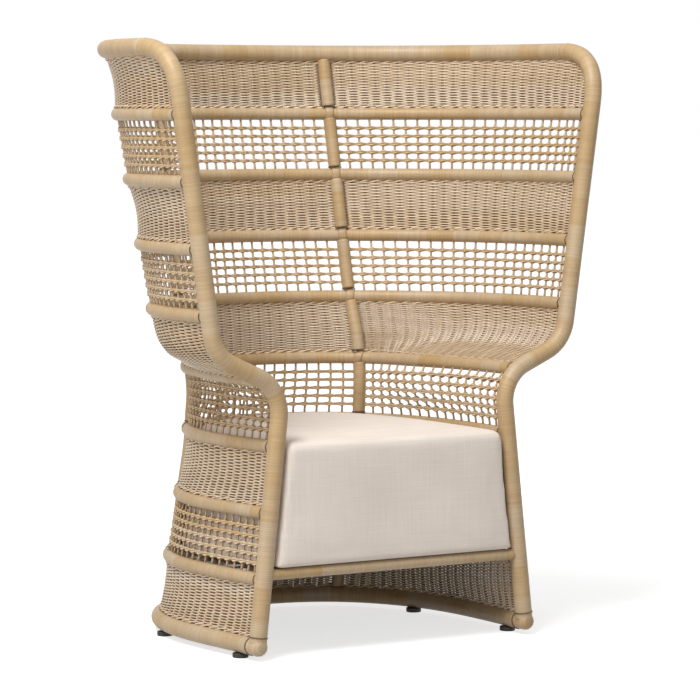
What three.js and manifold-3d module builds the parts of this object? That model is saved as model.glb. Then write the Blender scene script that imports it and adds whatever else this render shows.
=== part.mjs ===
// Peacock lounge chair: a tall woven shell on bent, fibre-wrapped tubes, with one thick loose seat cushion.
// Millimetres, +Z up, the front faces -Y, and the floor is z = 0 under the middle of the chair.
import * as THREE from "three";
import { mergeVertices } from "three/addons/utils/BufferGeometryUtils.js";
import Module from "manifold-3d";

// Heights: nine equal woven panels between the base tube and the top rim
const PANEL_PITCH = 138;
const PANEL_COUNT = 9;
const GLIDE_HEIGHT = 10;

// Front outline, half-widths and heights of its corners above the base tube's centre line
const FOOT_HALF_WIDTH = 341;
const WAIST_HALF_WIDTH = 281;
const WAIST_HEIGHT = 537;
const ARM_HALF_WIDTH = 443;
const ARM_HEIGHT = 608;
const RIM_HALF_WIDTH = 538;
const ARM_BEND_RADIUS = 85;
const SHOULDER_SOFTENING = 110;
const SOFT_BEND_RADIUS = 250;
const RIM_CORNER_RADIUS = 115;
const RIM_JOINT_LENGTH = 10;

// Back line, depths behind the front edge tubes
const FOOT_DEPTH = 635;
const LUMBAR_DEPTH = 560;
const LUMBAR_HEIGHT = 570;
const RIM_DEPTH = 675;
const LUMBAR_BEND_RADIUS = 600;

// Plan of the shell: straight wing fronts, then a superellipse round the back
const WING_STRAIGHT = 80;
const FOOT_ROUNDNESS = 2.75;
const ARM_ROUNDNESS = 2.08;
const RIM_ROUNDNESS = 2.22;
const WING_BULGE = 20;
const POST_HALF_SPACING = 224;

// Wrapped tubes
const FRAME_TUBE = 38;
const HOOP_TUBE = 28;
const POST_TUBE = 29;
const RAIL_TUBE = 24;
const SEAT_BAR_TUBE = 22;
const TUBE_SIDES = 8;

// Woven panels
const DENSE_THICKNESS = 6;
const DENSE_BOW = 6;
const NET_THICKNESS = 8;
const NET_STRAND = 12;
const WING_NET_COLUMNS = 7;
const BACK_NET_COLUMNS = 4;
const NET_ROWS = 3;

// Seat
const SEAT_HOOP = 1;
const SEAT_BAR_DEPTHS = [140, 300, 460];
const DECK_THICKNESS = 12;
const CUSHION_HEIGHT = 262;
const CUSHION_CROWN = 26;
const CUSHION_TOP_ROUND = 18;
const CUSHION_BOTTOM_ROUND = 12;
const CUSHION_CORNER = 16;
const CUSHION_FRONT = 18;
const CUSHION_DRAW_IN = 2;
const COVER_THICKNESS = 2;
const ZIP_LENGTH = 280;
const ZIP_WIDTH = 9;
const ZIP_RAISE = 30;

// Floor glides
const GLIDE_DIAMETER = 34;
const GLIDE_EDGE = 1.5;
const GLIDE_STEM = 8;
const GLIDE_STEM_LENGTH = 12;
const GLIDE_FRONT_DEPTH = 65;
const GLIDE_MIDDLE_DEPTH = 410;
const GLIDE_SIDES = 12;

// Clearances: between pieces that touch, round the woven panels, and round the loose cushion. A bent tube is
// made of straight runs that cut inside its curve, so a panel that leans out over a hoop keeps clear by more.
const FIT_GAP = 0.3;
const PANEL_GAP = 0.6;
const CURVE_CUT = 2.5;
const CUSHION_GAP = 2;

// Steps along the bends
const BEND_STEPS = 6;
const HOOP_STEPS = 22;
const RIM_STEPS = 26;
const POST_STEPS_PER_PANEL = 2;
const WING_STEPS = 8;
const BACK_STEPS = 5;

// Sizes worked out from those above
const FRAME_R = FRAME_TUBE / 2;
const HOOP_R = HOOP_TUBE / 2;
const POST_R = POST_TUBE / 2;
const RAIL_R = RAIL_TUBE / 2;
const SEAT_BAR_R = SEAT_BAR_TUBE / 2;
const RIM_HEIGHT = PANEL_PITCH * PANEL_COUNT;
const BASE_Z = GLIDE_HEIGHT + FIT_GAP + FRAME_R;
const FRONT_Y = -RIM_DEPTH / 2;
const DECK_TOP = SEAT_HOOP * PANEL_PITCH + SEAT_BAR_R + FIT_GAP + DECK_THICKNESS;
const RAIL_HEIGHT = DECK_TOP - RAIL_R;
const CUSHION_BOTTOM = DECK_TOP + FIT_GAP;

// The cushion stands before the middle of the edge tubes, and its front corners clear them
const CORNER_REACH = FRAME_R + CUSHION_GAP + CUSHION_CORNER;
const CORNER_DEPTH = Math.max(CUSHION_CORNER - CUSHION_FRONT, 0);
const CORNER_INSET = Math.sqrt(CORNER_REACH ** 2 - CORNER_DEPTH ** 2) - CUSHION_CORNER;
const CUSHION_INSET = Math.max(CORNER_INSET, POST_R + CUSHION_GAP, HOOP_R + CUSHION_GAP);

const wasm = await Module();
wasm.setup();

// A closed three.js geometry as a solid that can be cut.
function solidOf(geometry) {
  const bare = geometry.index ? geometry.toNonIndexed() : geometry.clone();
  bare.deleteAttribute("normal");
  bare.deleteAttribute("uv");
  const merged = mergeVertices(bare, 1e-3);
  const vertProperties = merged.attributes.position.array;
  const triVerts = new Uint32Array(merged.index.array);
  return new wasm.Manifold(new wasm.Mesh({ numProp: 3, vertProperties, triVerts }));
}

// A cut solid as a three.js geometry again.
function geometryOf(solid) {
  const { vertProperties, triVerts } = solid.getMesh();
  const geometry = new THREE.BufferGeometry();
  geometry.setAttribute("position", new THREE.BufferAttribute(vertProperties, 3));
  geometry.setIndex(new THREE.BufferAttribute(triVerts, 1));
  return geometry;
}

const cutAway = (solid, cutters) => cutters.reduce((rest, cutter) => rest.subtract(cutter), solid);
const lerp = THREE.MathUtils.lerp;

// A polyline whose inner corners are rounded to one radius.
function bentLine(corners, radius) {
  const points = [corners[0]];
  for (let i = 1; i < corners.length - 1; i += 1) {
    const into = corners[i].clone().sub(corners[i - 1]).normalize();
    const away = corners[i + 1].clone().sub(corners[i]).normalize();
    const side = Math.sign(into.cross(away));
    const angle = Math.acos(into.dot(away));
    const start = corners[i].clone().addScaledVector(into, -radius * Math.tan(angle / 2));
    const centre = new THREE.Vector2(-into.y, into.x).multiplyScalar(side * radius).add(start);
    const from = start.clone().sub(centre);
    for (let k = 0; k <= BEND_STEPS; k += 1) {
      const turned = from.clone().rotateAround(new THREE.Vector2(), (side * angle * k) / BEND_STEPS);
      points.push(turned.add(centre));
    }
  }
  points.push(corners.at(-1));
  return points;
}

// The outline's x at a height, with its first and last stretches carried on straight.
function outlineAt(points, height) {
  let i = 1;
  while (i < points.length - 1 && points[i].y < height) i += 1;
  const share = (height - points[i - 1].y) / (points[i].y - points[i - 1].y);
  return lerp(points[i - 1].x, points[i].x, share);
}

const footCorner = new THREE.Vector2(FOOT_HALF_WIDTH, 0);
const waistCorner = new THREE.Vector2(WAIST_HALF_WIDTH, WAIST_HEIGHT);
const armCorner = new THREE.Vector2(ARM_HALF_WIDTH, ARM_HEIGHT);
const rimCorner = new THREE.Vector2(RIM_HALF_WIDTH, RIM_HEIGHT);
const frontOutline = bentLine([footCorner, waistCorner, armCorner, rimCorner], ARM_BEND_RADIUS);

// Towards the rear posts the shoulder spreads into a long soft bend between the same two straights
const softWaist = waistCorner.clone().lerp(footCorner, SHOULDER_SOFTENING / WAIST_HEIGHT);
const softArm = armCorner.clone().lerp(rimCorner, SHOULDER_SOFTENING / (RIM_HEIGHT - ARM_HEIGHT));
const softOutline = bentLine([footCorner, softWaist, softArm, rimCorner], SOFT_BEND_RADIUS);
const backOutline = bentLine(
  [
    new THREE.Vector2(FOOT_DEPTH, 0),
    new THREE.Vector2(LUMBAR_DEPTH, LUMBAR_HEIGHT),
    new THREE.Vector2(RIM_DEPTH, RIM_HEIGHT),
  ],
  LUMBAR_BEND_RADIUS,
);

// How square the plan is at a height: full at the foot, roundest at the arms and a little fuller at the rim.
function roundnessAt(height) {
  const below = THREE.MathUtils.clamp(height / ARM_HEIGHT, 0, 1);
  const above = THREE.MathUtils.clamp((height - ARM_HEIGHT) / (RIM_HEIGHT - ARM_HEIGHT), 0, 1);
  return lerp(FOOT_ROUNDNESS, ARM_ROUNDNESS, below ** 1.5) + (RIM_ROUNDNESS - ARM_ROUNDNESS) * above;
}

// Half-width of the wall at a height: the soft bend at the posts, the sharp one along the wings, and below
// the waist a slight bulge behind the front edge.
const BACK_SHARE = 0.9;
const SOFT_SHARE = 0.35;
const SHARP_SHARE = 0.62;
const BULGE_SHARE = 0.55;
function halfWidthAt(share, height) {
  const { smoothstep } = THREE.MathUtils;
  const sharpness = smoothstep(share, SOFT_SHARE, SHARP_SHARE);
  const plain = lerp(outlineAt(softOutline, height), outlineAt(frontOutline, height), sharpness);
  const belowWaist = 1 - smoothstep(height, WAIST_HEIGHT - SHOULDER_SOFTENING, WAIST_HEIGHT);
  const behindFront = 1 - smoothstep(share, BULGE_SHARE, 1);
  return plain + WING_BULGE * belowWaist * behindFront;
}

// A point of the shell's middle surface. Across runs from -1, the left front edge, through 0, the middle of
// the back, to 1, the right front edge, and height is above the base tube's centre line.
function shellPoint(across, height) {
  const share = Math.abs(across);
  const n = roundnessAt(height);
  const turn = Math.min(share / BACK_SHARE, 1) * (Math.PI / 2);
  const sine = Math.sin(turn);
  const cosine = Math.max(Math.cos(turn), 0);
  const reach = (sine ** n + cosine ** n) ** (-1 / n);
  const straight = Math.max(share - BACK_SHARE, 0) / (1 - BACK_SHARE);
  const round = (outlineAt(backOutline, height) - WING_STRAIGHT) * reach * cosine;
  const depth = WING_STRAIGHT * (1 - straight) + round;
  const x = Math.sign(across) * halfWidthAt(share, height) * reach * sine;
  return new THREE.Vector3(x, FRONT_Y + depth, BASE_Z + height);
}

// Slopes of the surface along across and height, and the unit normal that points into the seat.
const SMALL = 1e-4;
const slopeAcross = (across, height) =>
  shellPoint(across + SMALL, height).sub(shellPoint(across - SMALL, height)).divideScalar(2 * SMALL);
const slopeUp = (across, height) =>
  shellPoint(across, height + SMALL).sub(shellPoint(across, height - SMALL)).divideScalar(2 * SMALL);
const inward = (across, height) => slopeAcross(across, height).cross(slopeUp(across, height)).normalize();

// The place that lies a distance further along the wall, or further up it, paced out because the wall bends.
const alongWall = (across, height, distance) => across + distance / slopeAcross(across, height).length();
const PACES = 6;
function upWall(across, height, distance) {
  let reached = height;
  for (let i = 0; i < PACES; i += 1) reached += distance / PACES / slopeUp(across, reached).length();
  return reached;
}

// The right-hand place at a height where the wall passes a depth, found by halving. Before the front edge
// the wall is taken to run straight on.
const HALVINGS = 40;
function acrossAtDepth(depth, height) {
  let low = 0;
  let high = 2 - BACK_SHARE;
  for (let i = 0; i < HALVINGS; i += 1) {
    const middle = (low + high) / 2;
    if (shellPoint(middle, height).y > FRONT_Y + depth) low = middle;
    else high = middle;
  }
  return (low + high) / 2;
}

// The right-hand place at a height where the rear post stands.
function postAcross(height) {
  const n = roundnessAt(height);
  const share = (POST_HALF_SPACING / halfWidthAt(0, height)) ** n;
  return (Math.atan((share / (1 - share)) ** (1 / n)) / (Math.PI / 2)) * BACK_SHARE;
}

// A path that takes one step from each station to the next.
class StationPath extends THREE.CatmullRomCurve3 {
  getPointAt(share, target) {
    return this.getPoint(share, target);
  }

  getTangentAt(share, target) {
    return this.getTangent(share, target);
  }
}

// A round bar through a list of stations.
function tube(stations, radius) {
  const corners = [];
  for (let i = 0; i < TUBE_SIDES; i += 1) {
    const angle = (2 * Math.PI * i) / TUBE_SIDES;
    corners.push(new THREE.Vector2(radius * Math.cos(angle), radius * Math.sin(angle)));
  }
  const path = new StationPath(stations, false, "centripetal");
  const options = { steps: stations.length - 1, bevelEnabled: false, extrudePath: path };
  return solidOf(new THREE.ExtrudeGeometry(new THREE.Shape(corners), options));
}

const spread = (count, make) => Array.from({ length: count + 1 }, (unused, i) => make(i / count));
const mirrored = (stations) => stations.map((p) => new THREE.Vector3(-p.x, p.y, p.z));
const hoopHeights = spread(PANEL_COUNT, (share) => RIM_HEIGHT * share);

// Front edge tubes: saddled on the base tube, up the front outline, then round the top corner into the rim
const cornerEnd = alongWall(1, RIM_HEIGHT, -RIM_CORNER_RADIUS);
const edgeEnd = alongWall(cornerEnd, RIM_HEIGHT, -RIM_JOINT_LENGTH);
function edgeStations() {
  const foot = new THREE.Vector2(outlineAt(frontOutline, FRAME_R / 2), FRAME_R / 2);
  const outline = [foot, ...frontOutline.slice(1)];
  const stations = outline.map((p) => new THREE.Vector3(p.x, FRONT_Y, BASE_Z + p.y));
  const top = stations.pop();
  const rise = top.clone().sub(stations.at(-1)).normalize();
  const start = top.clone().addScaledVector(rise, -RIM_CORNER_RADIUS);
  const end = shellPoint(cornerEnd, RIM_HEIGHT);
  const corner = new THREE.QuadraticBezierCurve3(start, top, end);
  return [...stations, ...corner.getPoints(BEND_STEPS), shellPoint(edgeEnd, RIM_HEIGHT)];
}
const rightEdgeRun = edgeStations();
const edgeRuns = { left: mirrored(rightEdgeRun), right: rightEdgeRun };
const rimEnd = alongWall(edgeEnd, RIM_HEIGHT, -FIT_GAP);
const rimStart = alongWall(rimEnd, RIM_HEIGHT, -RIM_JOINT_LENGTH);
const rimPlaces = [rimEnd, ...spread(RIM_STEPS, (share) => lerp(rimStart, -rimStart, share)), -rimEnd];
const rimRun = rimPlaces.map((across) => shellPoint(across, RIM_HEIGHT));
const hoopRun = (height) => spread(HOOP_STEPS, (share) => shellPoint(1 - 2 * share, height));

// The base tube runs on under the legs to end flush with their fronts
const legFront = alongWall(1, 0, FRAME_R);
const baseRun = [shellPoint(legFront, 0), ...hoopRun(0), shellPoint(-legFront, 0)];

const rightPostRun = spread(PANEL_COUNT * POST_STEPS_PER_PANEL, (share) => {
  const height = RIM_HEIGHT * share;
  return shellPoint(postAcross(height), height);
});
const postRuns = { left: mirrored(rightPostRun), right: rightPostRun };

const chair = new THREE.Group();
chair.name = "peacock_chair";

const finishes = {
  wrap: { color: 0xd2b48a, roughness: 0.6, metalness: 0 },
  weave: { color: 0xc9a878, roughness: 0.7, metalness: 0 },
  deck: { color: 0x6f5f4a, roughness: 0.8, metalness: 0 },
  bar: { color: 0xb4b4b0, roughness: 0.4, metalness: 0.9 },
  linen: { color: 0xe0d8cd, roughness: 0.9, metalness: 0 },
  foam: { color: 0xefe4bd, roughness: 1, metalness: 0 },
  glide: { color: 0x1b1917, roughness: 0.5, metalness: 0 },
};

function addPiece(name, solid, finish) {
  const mesh = new THREE.Mesh(geometryOf(solid), new THREE.MeshStandardMaterial(finishes[finish]));
  mesh.name = name;
  chair.add(mesh);
}

const sides = ["left", "right"];
const signs = { left: -1, right: 1 };

// Each tube with its clearance, for cutting what meets it
const fittedEdges = sides.map((side) => tube(edgeRuns[side], FRAME_R + FIT_GAP));
const fittedPosts = sides.map((side) => tube(postRuns[side], POST_R + FIT_GAP));
const fittedBase = tube(baseRun, FRAME_R + FIT_GAP);
const fittedRim = tube(rimRun, FRAME_R + FIT_GAP);
const innerHoops = hoopHeights.slice(1, -1).map((height) => tube(hoopRun(height), HOOP_R + FIT_GAP));
const fittedHoops = [fittedBase, ...innerHoops, fittedRim];

// Half-lap joints: the post keeps its inner half where it crosses a hoop, and the hoop keeps its outer half
const lapReach = 2 * FRAME_TUBE;
function lapBlock(side, height, direction) {
  const across = signs[side] * postAcross(height);
  const normal = inward(across, height).multiplyScalar(direction);
  const block = new THREE.BoxGeometry(lapReach, lapReach, lapReach);
  const turn = new THREE.Quaternion().setFromUnitVectors(new THREE.Vector3(0, 0, 1), normal);
  block.applyQuaternion(turn);
  const centre = shellPoint(across, height).addScaledVector(normal, (lapReach - FIT_GAP) / 2);
  block.translate(centre.x, centre.y, centre.z);
  return solidOf(block);
}

// Wrapped frame
const baseGlides = [
  { name: "glide_front_left", across: -acrossAtDepth(GLIDE_FRONT_DEPTH, 0) },
  { name: "glide_front_right", across: acrossAtDepth(GLIDE_FRONT_DEPTH, 0) },
  { name: "glide_middle_left", across: -acrossAtDepth(GLIDE_MIDDLE_DEPTH, 0) },
  { name: "glide_middle_right", across: acrossAtDepth(GLIDE_MIDDLE_DEPTH, 0) },
  { name: "glide_back", across: 0 },
];

function turned(profile, place) {
  const geometry = new THREE.LatheGeometry(
    profile.map(([r, z]) => new THREE.Vector2(r, z)),
    GLIDE_SIDES,
  );
  geometry.rotateX(Math.PI / 2);
  geometry.translate(place.x, place.y, 0);
  return solidOf(geometry);
}

function makeGlide(place) {
  const radius = GLIDE_DIAMETER / 2;
  const stem = GLIDE_STEM / 2;
  const top = GLIDE_HEIGHT + GLIDE_STEM_LENGTH;
  const profile = [
    [0, 0],
    [radius - GLIDE_EDGE, 0],
    [radius, GLIDE_EDGE],
    [radius, GLIDE_HEIGHT - GLIDE_EDGE],
    [radius - GLIDE_EDGE, GLIDE_HEIGHT],
    [stem, GLIDE_HEIGHT],
    [stem, top],
    [0, top],
  ];
  return turned(profile, place);
}

function makeGlideSocket(place) {
  const radius = GLIDE_STEM / 2 + FIT_GAP;
  const top = GLIDE_HEIGHT + GLIDE_STEM_LENGTH + FIT_GAP;
  const profile = [
    [0, 0],
    [radius, 0],
    [radius, top],
    [0, top],
  ];
  return turned(profile, place);
}

function makeFrame() {
  const glidePlaces = baseGlides.map((glide) => shellPoint(glide.across, 0));
  addPiece("top_rim", tube(rimRun, FRAME_R), "wrap");
  addPiece("base_hoop", cutAway(tube(baseRun, FRAME_R), glidePlaces.map(makeGlideSocket)), "wrap");
  sides.forEach((side) => {
    addPiece(`edge_tube_${side}`, cutAway(tube(edgeRuns[side], FRAME_R), [fittedBase]), "wrap");
  });
  baseGlides.forEach((glide, i) => addPiece(glide.name, makeGlide(glidePlaces[i]), "glide"));
}

function makeHoops() {
  const laps = { left: [], right: [] };
  for (let level = 1; level < PANEL_COUNT; level += 1) {
    const height = hoopHeights[level];
    const notches = sides.map((side, i) => fittedPosts[i].intersect(lapBlock(side, height, 1)));
    sides.forEach((side) => laps[side].push(fittedHoops[level].intersect(lapBlock(side, height, -1))));
    addPiece(`hoop_${level}`, cutAway(tube(hoopRun(height), HOOP_R), [...fittedEdges, ...notches]), "wrap");
  }
  sides.forEach((side) => {
    const cutters = [fittedBase, fittedRim, ...laps[side]];
    addPiece(`rear_post_${side}`, cutAway(tube(postRuns[side], POST_R), cutters), "wrap");
  });
}

// Woven panels: three bays to a level, dense weave and open net by turns from the base up
const bays = [
  { name: "left_wing", steps: WING_STEPS, columns: WING_NET_COLUMNS },
  { name: "back", steps: BACK_STEPS, columns: BACK_NET_COLUMNS },
  { name: "right_wing", steps: WING_STEPS, columns: WING_NET_COLUMNS },
];

// Ends of a bay at a height, clear of the edge tube and the post that hold it.
function bayEnds(bay, height) {
  const front = alongWall(1, height, -(FRAME_R + PANEL_GAP));
  const post = postAcross(height);
  const behind = alongWall(post, height, -(POST_R + PANEL_GAP));
  const before = alongWall(post, height, POST_R + PANEL_GAP);
  const ends = { left_wing: [-front, -before], back: [-behind, behind], right_wing: [before, front] };
  return ends[bay.name];
}

// The gap that a panel keeps from a hoop, wider where the wall leans.
function hoopGap(across, height) {
  const up = slopeUp(across, height).normalize();
  return PANEL_GAP + CURVE_CUT * Math.hypot(up.x, up.y);
}

// A point of a panel: shares across the bay and up the level, and a distance off the middle surface.
function panelPoint(bay, level, acrossShare, upShare, off) {
  const low = hoopHeights[level];
  const high = hoopHeights[level + 1];
  const lowRadius = level === 0 ? FRAME_R : HOOP_R;
  const highRadius = level === PANEL_COUNT - 1 ? FRAME_R : HOOP_R;
  const about = lerp(...bayEnds(bay, lerp(low, high, upShare)), acrossShare);
  const bottom = upWall(about, low, lowRadius + hoopGap(about, low));
  const top = upWall(about, high, -(highRadius + hoopGap(about, high)));
  const height = lerp(bottom, top, upShare);
  const across = lerp(...bayEnds(bay, height), acrossShare);
  return shellPoint(across, height).addScaledVector(inward(across, height), off);
}

// The level that bends over the arms needs steps up its height, and the others bow into the seat between
// their hoops, less towards the posts and the front edges.
const armLevel = Math.floor(ARM_HEIGHT / PANEL_PITCH);
const BOW_STEPS = 2;
const BOW_SIDE = 0.25;
function densePanel(bay, level) {
  const { smoothstep } = THREE.MathUtils;
  const bends = level === armLevel;
  const slab = new THREE.BoxGeometry(1, 1, 1, bay.steps, bends ? BEND_STEPS : BOW_STEPS, 1);
  const place = slab.attributes.position;
  for (let i = 0; i < place.count; i += 1) {
    const across = place.getX(i) + 0.5;
    const up = place.getY(i) + 0.5;
    const sideways = smoothstep(across, 0, BOW_SIDE) * smoothstep(1 - across, 0, BOW_SIDE);
    const bow = bends ? 0 : DENSE_BOW * Math.sin(Math.PI * up) * sideways;
    const point = panelPoint(bay, level, across, up, place.getZ(i) * DENSE_THICKNESS + bow);
    place.setXYZ(i, point.x, point.y, point.z);
  }
  return solidOf(slab);
}

// Shares of the lines between strands and gaps, with a strand at each end.
function strandLines(gaps, length) {
  const strand = NET_STRAND / length;
  const pitch = (1 - strand) / gaps;
  const lines = [];
  for (let i = 0; i <= gaps; i += 1) lines.push(i * pitch, i * pitch + strand);
  return lines;
}

// An open net: a grid of cells on both faces, with every second cell of every second row left out.
function netPanel(bay, level) {
  const middle = (hoopHeights[level] + hoopHeights[level + 1]) / 2;
  const [from, to] = bayEnds(bay, middle);
  const length = (to - from) * slopeAcross((from + to) / 2, middle).length();
  const columns = strandLines(bay.columns, length);
  const rows = strandLines(NET_ROWS, PANEL_PITCH - HOOP_TUBE);
  const positions = [];
  for (const off of [-NET_THICKNESS / 2, NET_THICKNESS / 2])
    for (const up of rows)
      for (const across of columns) positions.push(...panelPoint(bay, level, across, up, off).toArray());
  const corner = (i, j, face) => (face * rows.length + j) * columns.length + i;
  const solid = (i, j) => {
    const inside = i >= 0 && j >= 0 && i < columns.length - 1 && j < rows.length - 1;
    return inside && !(i % 2 === 1 && j % 2 === 1);
  };
  const index = [];
  const quad = (a, b, c, d) => index.push(a, b, c, a, c, d);
  const wall = (a, b) => quad(corner(...a, 0), corner(...b, 0), corner(...b, 1), corner(...a, 1));
  for (let j = 0; j < rows.length - 1; j += 1)
    for (let i = 0; i < columns.length - 1; i += 1) {
      if (!solid(i, j)) continue;
      quad(corner(i, j, 1), corner(i + 1, j, 1), corner(i + 1, j + 1, 1), corner(i, j + 1, 1));
      quad(corner(i, j, 0), corner(i, j + 1, 0), corner(i + 1, j + 1, 0), corner(i + 1, j, 0));
      if (!solid(i, j - 1)) wall([i, j], [i + 1, j]);
      if (!solid(i + 1, j)) wall([i + 1, j], [i + 1, j + 1]);
      if (!solid(i, j + 1)) wall([i + 1, j + 1], [i, j + 1]);
      if (!solid(i - 1, j)) wall([i, j + 1], [i, j]);
    }
  const geometry = new THREE.BufferGeometry();
  geometry.setAttribute("position", new THREE.Float32BufferAttribute(positions, 3));
  geometry.setIndex(index);
  return solidOf(geometry);
}

// Each panel is trimmed to the tubes round it.
function makePanels() {
  for (let level = 0; level < PANEL_COUNT; level += 1)
    for (const bay of bays) {
      const open = level % 2 === 1;
      const name = `${open ? "net" : "weave"}_${level + 1}_${bay.name}`;
      const panel = open ? netPanel(bay, level) : densePanel(bay, level);
      const around = [fittedHoops[level], fittedHoops[level + 1], ...fittedPosts, ...fittedEdges];
      addPiece(name, cutAway(panel, around), "weave");
    }
}

// Seat frame: a wrapped rail between the legs, bars across the seat hoop, and the deck let in behind the rail
function straightTube(halfLength, y, z, radius) {
  return tube([new THREE.Vector3(halfLength, y, z), new THREE.Vector3(-halfLength, y, z)], radius);
}

// A closed outline inside the shell at a height: round the wall, then across the front with rounded corners.
const OUTLINE_STEPS = 12;
const CORNER_STEPS = 3;
function insideOutline(height, inset, frontDepth, corner) {
  const edge = (across) => {
    const normal = inward(across, height).setZ(0).normalize();
    return shellPoint(across, height).addScaledVector(normal, inset);
  };
  const start = acrossAtDepth(frontDepth + corner, height);
  const points = spread(OUTLINE_STEPS, (share) => edge(lerp(start, -start, share)));
  const flat = points.map((p) => new THREE.Vector2(p.x, p.y));
  const round = spread(CORNER_STEPS, (share) => (share * Math.PI) / 2).slice(1);
  const centre = new THREE.Vector2(flat.at(-1).x + corner, flat.at(-1).y);
  const left = round.map((a) => new THREE.Vector2(-corner * Math.cos(a), -corner * Math.sin(a)).add(centre));
  const right = left.map((p) => new THREE.Vector2(-p.x, p.y)).reverse();
  return [...flat, ...left, ...right];
}

function makeSeatFrame() {
  const seatHeight = hoopHeights[SEAT_HOOP];
  const rail = straightTube(outlineAt(frontOutline, RAIL_HEIGHT), FRONT_Y, BASE_Z + RAIL_HEIGHT, RAIL_R);
  addPiece("seat_front_rail", cutAway(rail, fittedEdges), "wrap");
  SEAT_BAR_DEPTHS.forEach((depth, i) => {
    const end = shellPoint(acrossAtDepth(depth, seatHeight), seatHeight);
    const bar = straightTube(end.x, end.y, end.z, SEAT_BAR_R);
    addPiece(`seat_bar_${i + 1}`, cutAway(bar, [fittedHoops[SEAT_HOOP]]), "bar");
  });
  const outline = insideOutline(DECK_TOP, CUSHION_INSET, RAIL_R + FIT_GAP, CUSHION_CORNER);
  const options = { depth: DECK_THICKNESS, bevelEnabled: false };
  const deck = new THREE.ExtrudeGeometry(new THREE.Shape(outline), options);
  deck.translate(0, 0, BASE_Z + DECK_TOP - DECK_THICKNESS);
  addPiece("seat_deck", solidOf(deck), "deck");
}

// Cushion: rings of the inside outline, rounded at both edges, drawn in at half height and crowned on top
function cushionForm(shrink) {
  const bottom = CUSHION_BOTTOM + shrink;
  const top = CUSHION_BOTTOM + CUSHION_HEIGHT - shrink;
  const rings = [];
  const addRing = (height, inset) => {
    const front = shrink + inset - CUSHION_FRONT;
    const outline = insideOutline(height, CUSHION_INSET + shrink + inset, front, CUSHION_CORNER);
    rings.push(outline.map((p) => new THREE.Vector3(p.x, p.y, BASE_Z + height)));
  };
  const rounding = spread(2, (share) => (share * Math.PI) / 2);
  rounding.forEach((a) =>
    addRing(bottom + CUSHION_BOTTOM_ROUND * (1 - Math.cos(a)), CUSHION_BOTTOM_ROUND * (1 - Math.sin(a))),
  );
  addRing((bottom + top) / 2, CUSHION_DRAW_IN);
  rounding.forEach((a) =>
    addRing(top - CUSHION_TOP_ROUND * (1 - Math.sin(a)), CUSHION_TOP_ROUND * (1 - Math.cos(a))),
  );
  const rim = rings.at(-1);
  const middle = rim.reduce((sum, p) => sum.add(p), new THREE.Vector3()).divideScalar(rim.length);
  for (const share of [0.75, 0.45, 0.2]) {
    const raise = CUSHION_CROWN * (1 - share ** 2);
    rings.push(rim.map((p) => p.clone().lerp(middle, 1 - share).add(new THREE.Vector3(0, 0, raise))));
  }
  const count = rim.length;
  const positions = rings.flat().flatMap((p) => p.toArray());
  positions.push(middle.x, middle.y, BASE_Z + bottom, middle.x, middle.y, middle.z + CUSHION_CROWN);
  const under = rings.length * count;
  const index = [];
  for (let i = 0; i < count; i += 1) {
    const next = (i + 1) % count;
    for (let j = 0; j < rings.length - 1; j += 1) {
      const low = j * count;
      const high = low + count;
      index.push(low + i, low + next, high + next, low + i, high + next, high + i);
    }
    const last = (rings.length - 1) * count;
    index.push(under, next, i, under + 1, last + i, last + next);
  }
  const geometry = new THREE.BufferGeometry();
  geometry.setAttribute("position", new THREE.Float32BufferAttribute(positions, 3));
  geometry.setIndex(index);
  return solidOf(geometry);
}

// The zip closes a slot low in the back of the cover.
function zipBlock(grow) {
  const wallY = FRONT_Y + outlineAt(backOutline, CUSHION_BOTTOM);
  const reach = FOOT_DEPTH / 2;
  const block = new THREE.BoxGeometry(ZIP_LENGTH + 2 * grow, 2 * reach, ZIP_WIDTH + 2 * grow);
  block.translate(0, wallY, BASE_Z + CUSHION_BOTTOM + ZIP_RAISE);
  return solidOf(block);
}

function makeCushion() {
  const wall = cushionForm(0).subtract(cushionForm(COVER_THICKNESS));
  addPiece("cushion_cover", wall.subtract(zipBlock(FIT_GAP)), "linen");
  addPiece("cushion_zip", wall.intersect(zipBlock(0)), "linen");
  addPiece("cushion_foam", cushionForm(COVER_THICKNESS + FIT_GAP), "foam");
}

makeFrame();
makeHoops();
makePanels();
makeSeatFrame();
makeCushion();

export default chair;
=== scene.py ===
"""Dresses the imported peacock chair: wrapped tubes, woven shell, nets, seat, cushion, glides and stage."""

import math

import bpy
import numpy as np
from bpy.props import FloatProperty, FloatVectorProperty, IntProperty, PointerProperty
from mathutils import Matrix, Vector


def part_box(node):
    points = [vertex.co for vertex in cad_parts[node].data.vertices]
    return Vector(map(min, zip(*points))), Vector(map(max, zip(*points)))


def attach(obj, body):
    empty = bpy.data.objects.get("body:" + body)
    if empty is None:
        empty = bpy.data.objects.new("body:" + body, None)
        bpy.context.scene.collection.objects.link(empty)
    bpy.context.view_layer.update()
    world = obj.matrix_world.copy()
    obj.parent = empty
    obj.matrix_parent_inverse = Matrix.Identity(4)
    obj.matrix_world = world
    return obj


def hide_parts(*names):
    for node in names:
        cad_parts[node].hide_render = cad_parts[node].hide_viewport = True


bl_info = {
    "name": "Woven Peacock Chair",
    "version": (1, 0, 0),
    "blender": (4, 5, 0),
    "location": "3D View > Sidebar > Chair",
    "description": "Builds the wrapped frame, woven shell, cushion and stage of a peacock chair",
    "category": "Object",
}

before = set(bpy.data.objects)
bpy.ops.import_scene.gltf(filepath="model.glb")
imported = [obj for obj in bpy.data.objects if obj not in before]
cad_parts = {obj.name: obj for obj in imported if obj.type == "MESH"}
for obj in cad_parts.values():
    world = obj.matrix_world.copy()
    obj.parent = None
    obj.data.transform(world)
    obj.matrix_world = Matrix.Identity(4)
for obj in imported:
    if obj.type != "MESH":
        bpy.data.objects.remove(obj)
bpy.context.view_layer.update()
BODY = "root"

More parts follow.
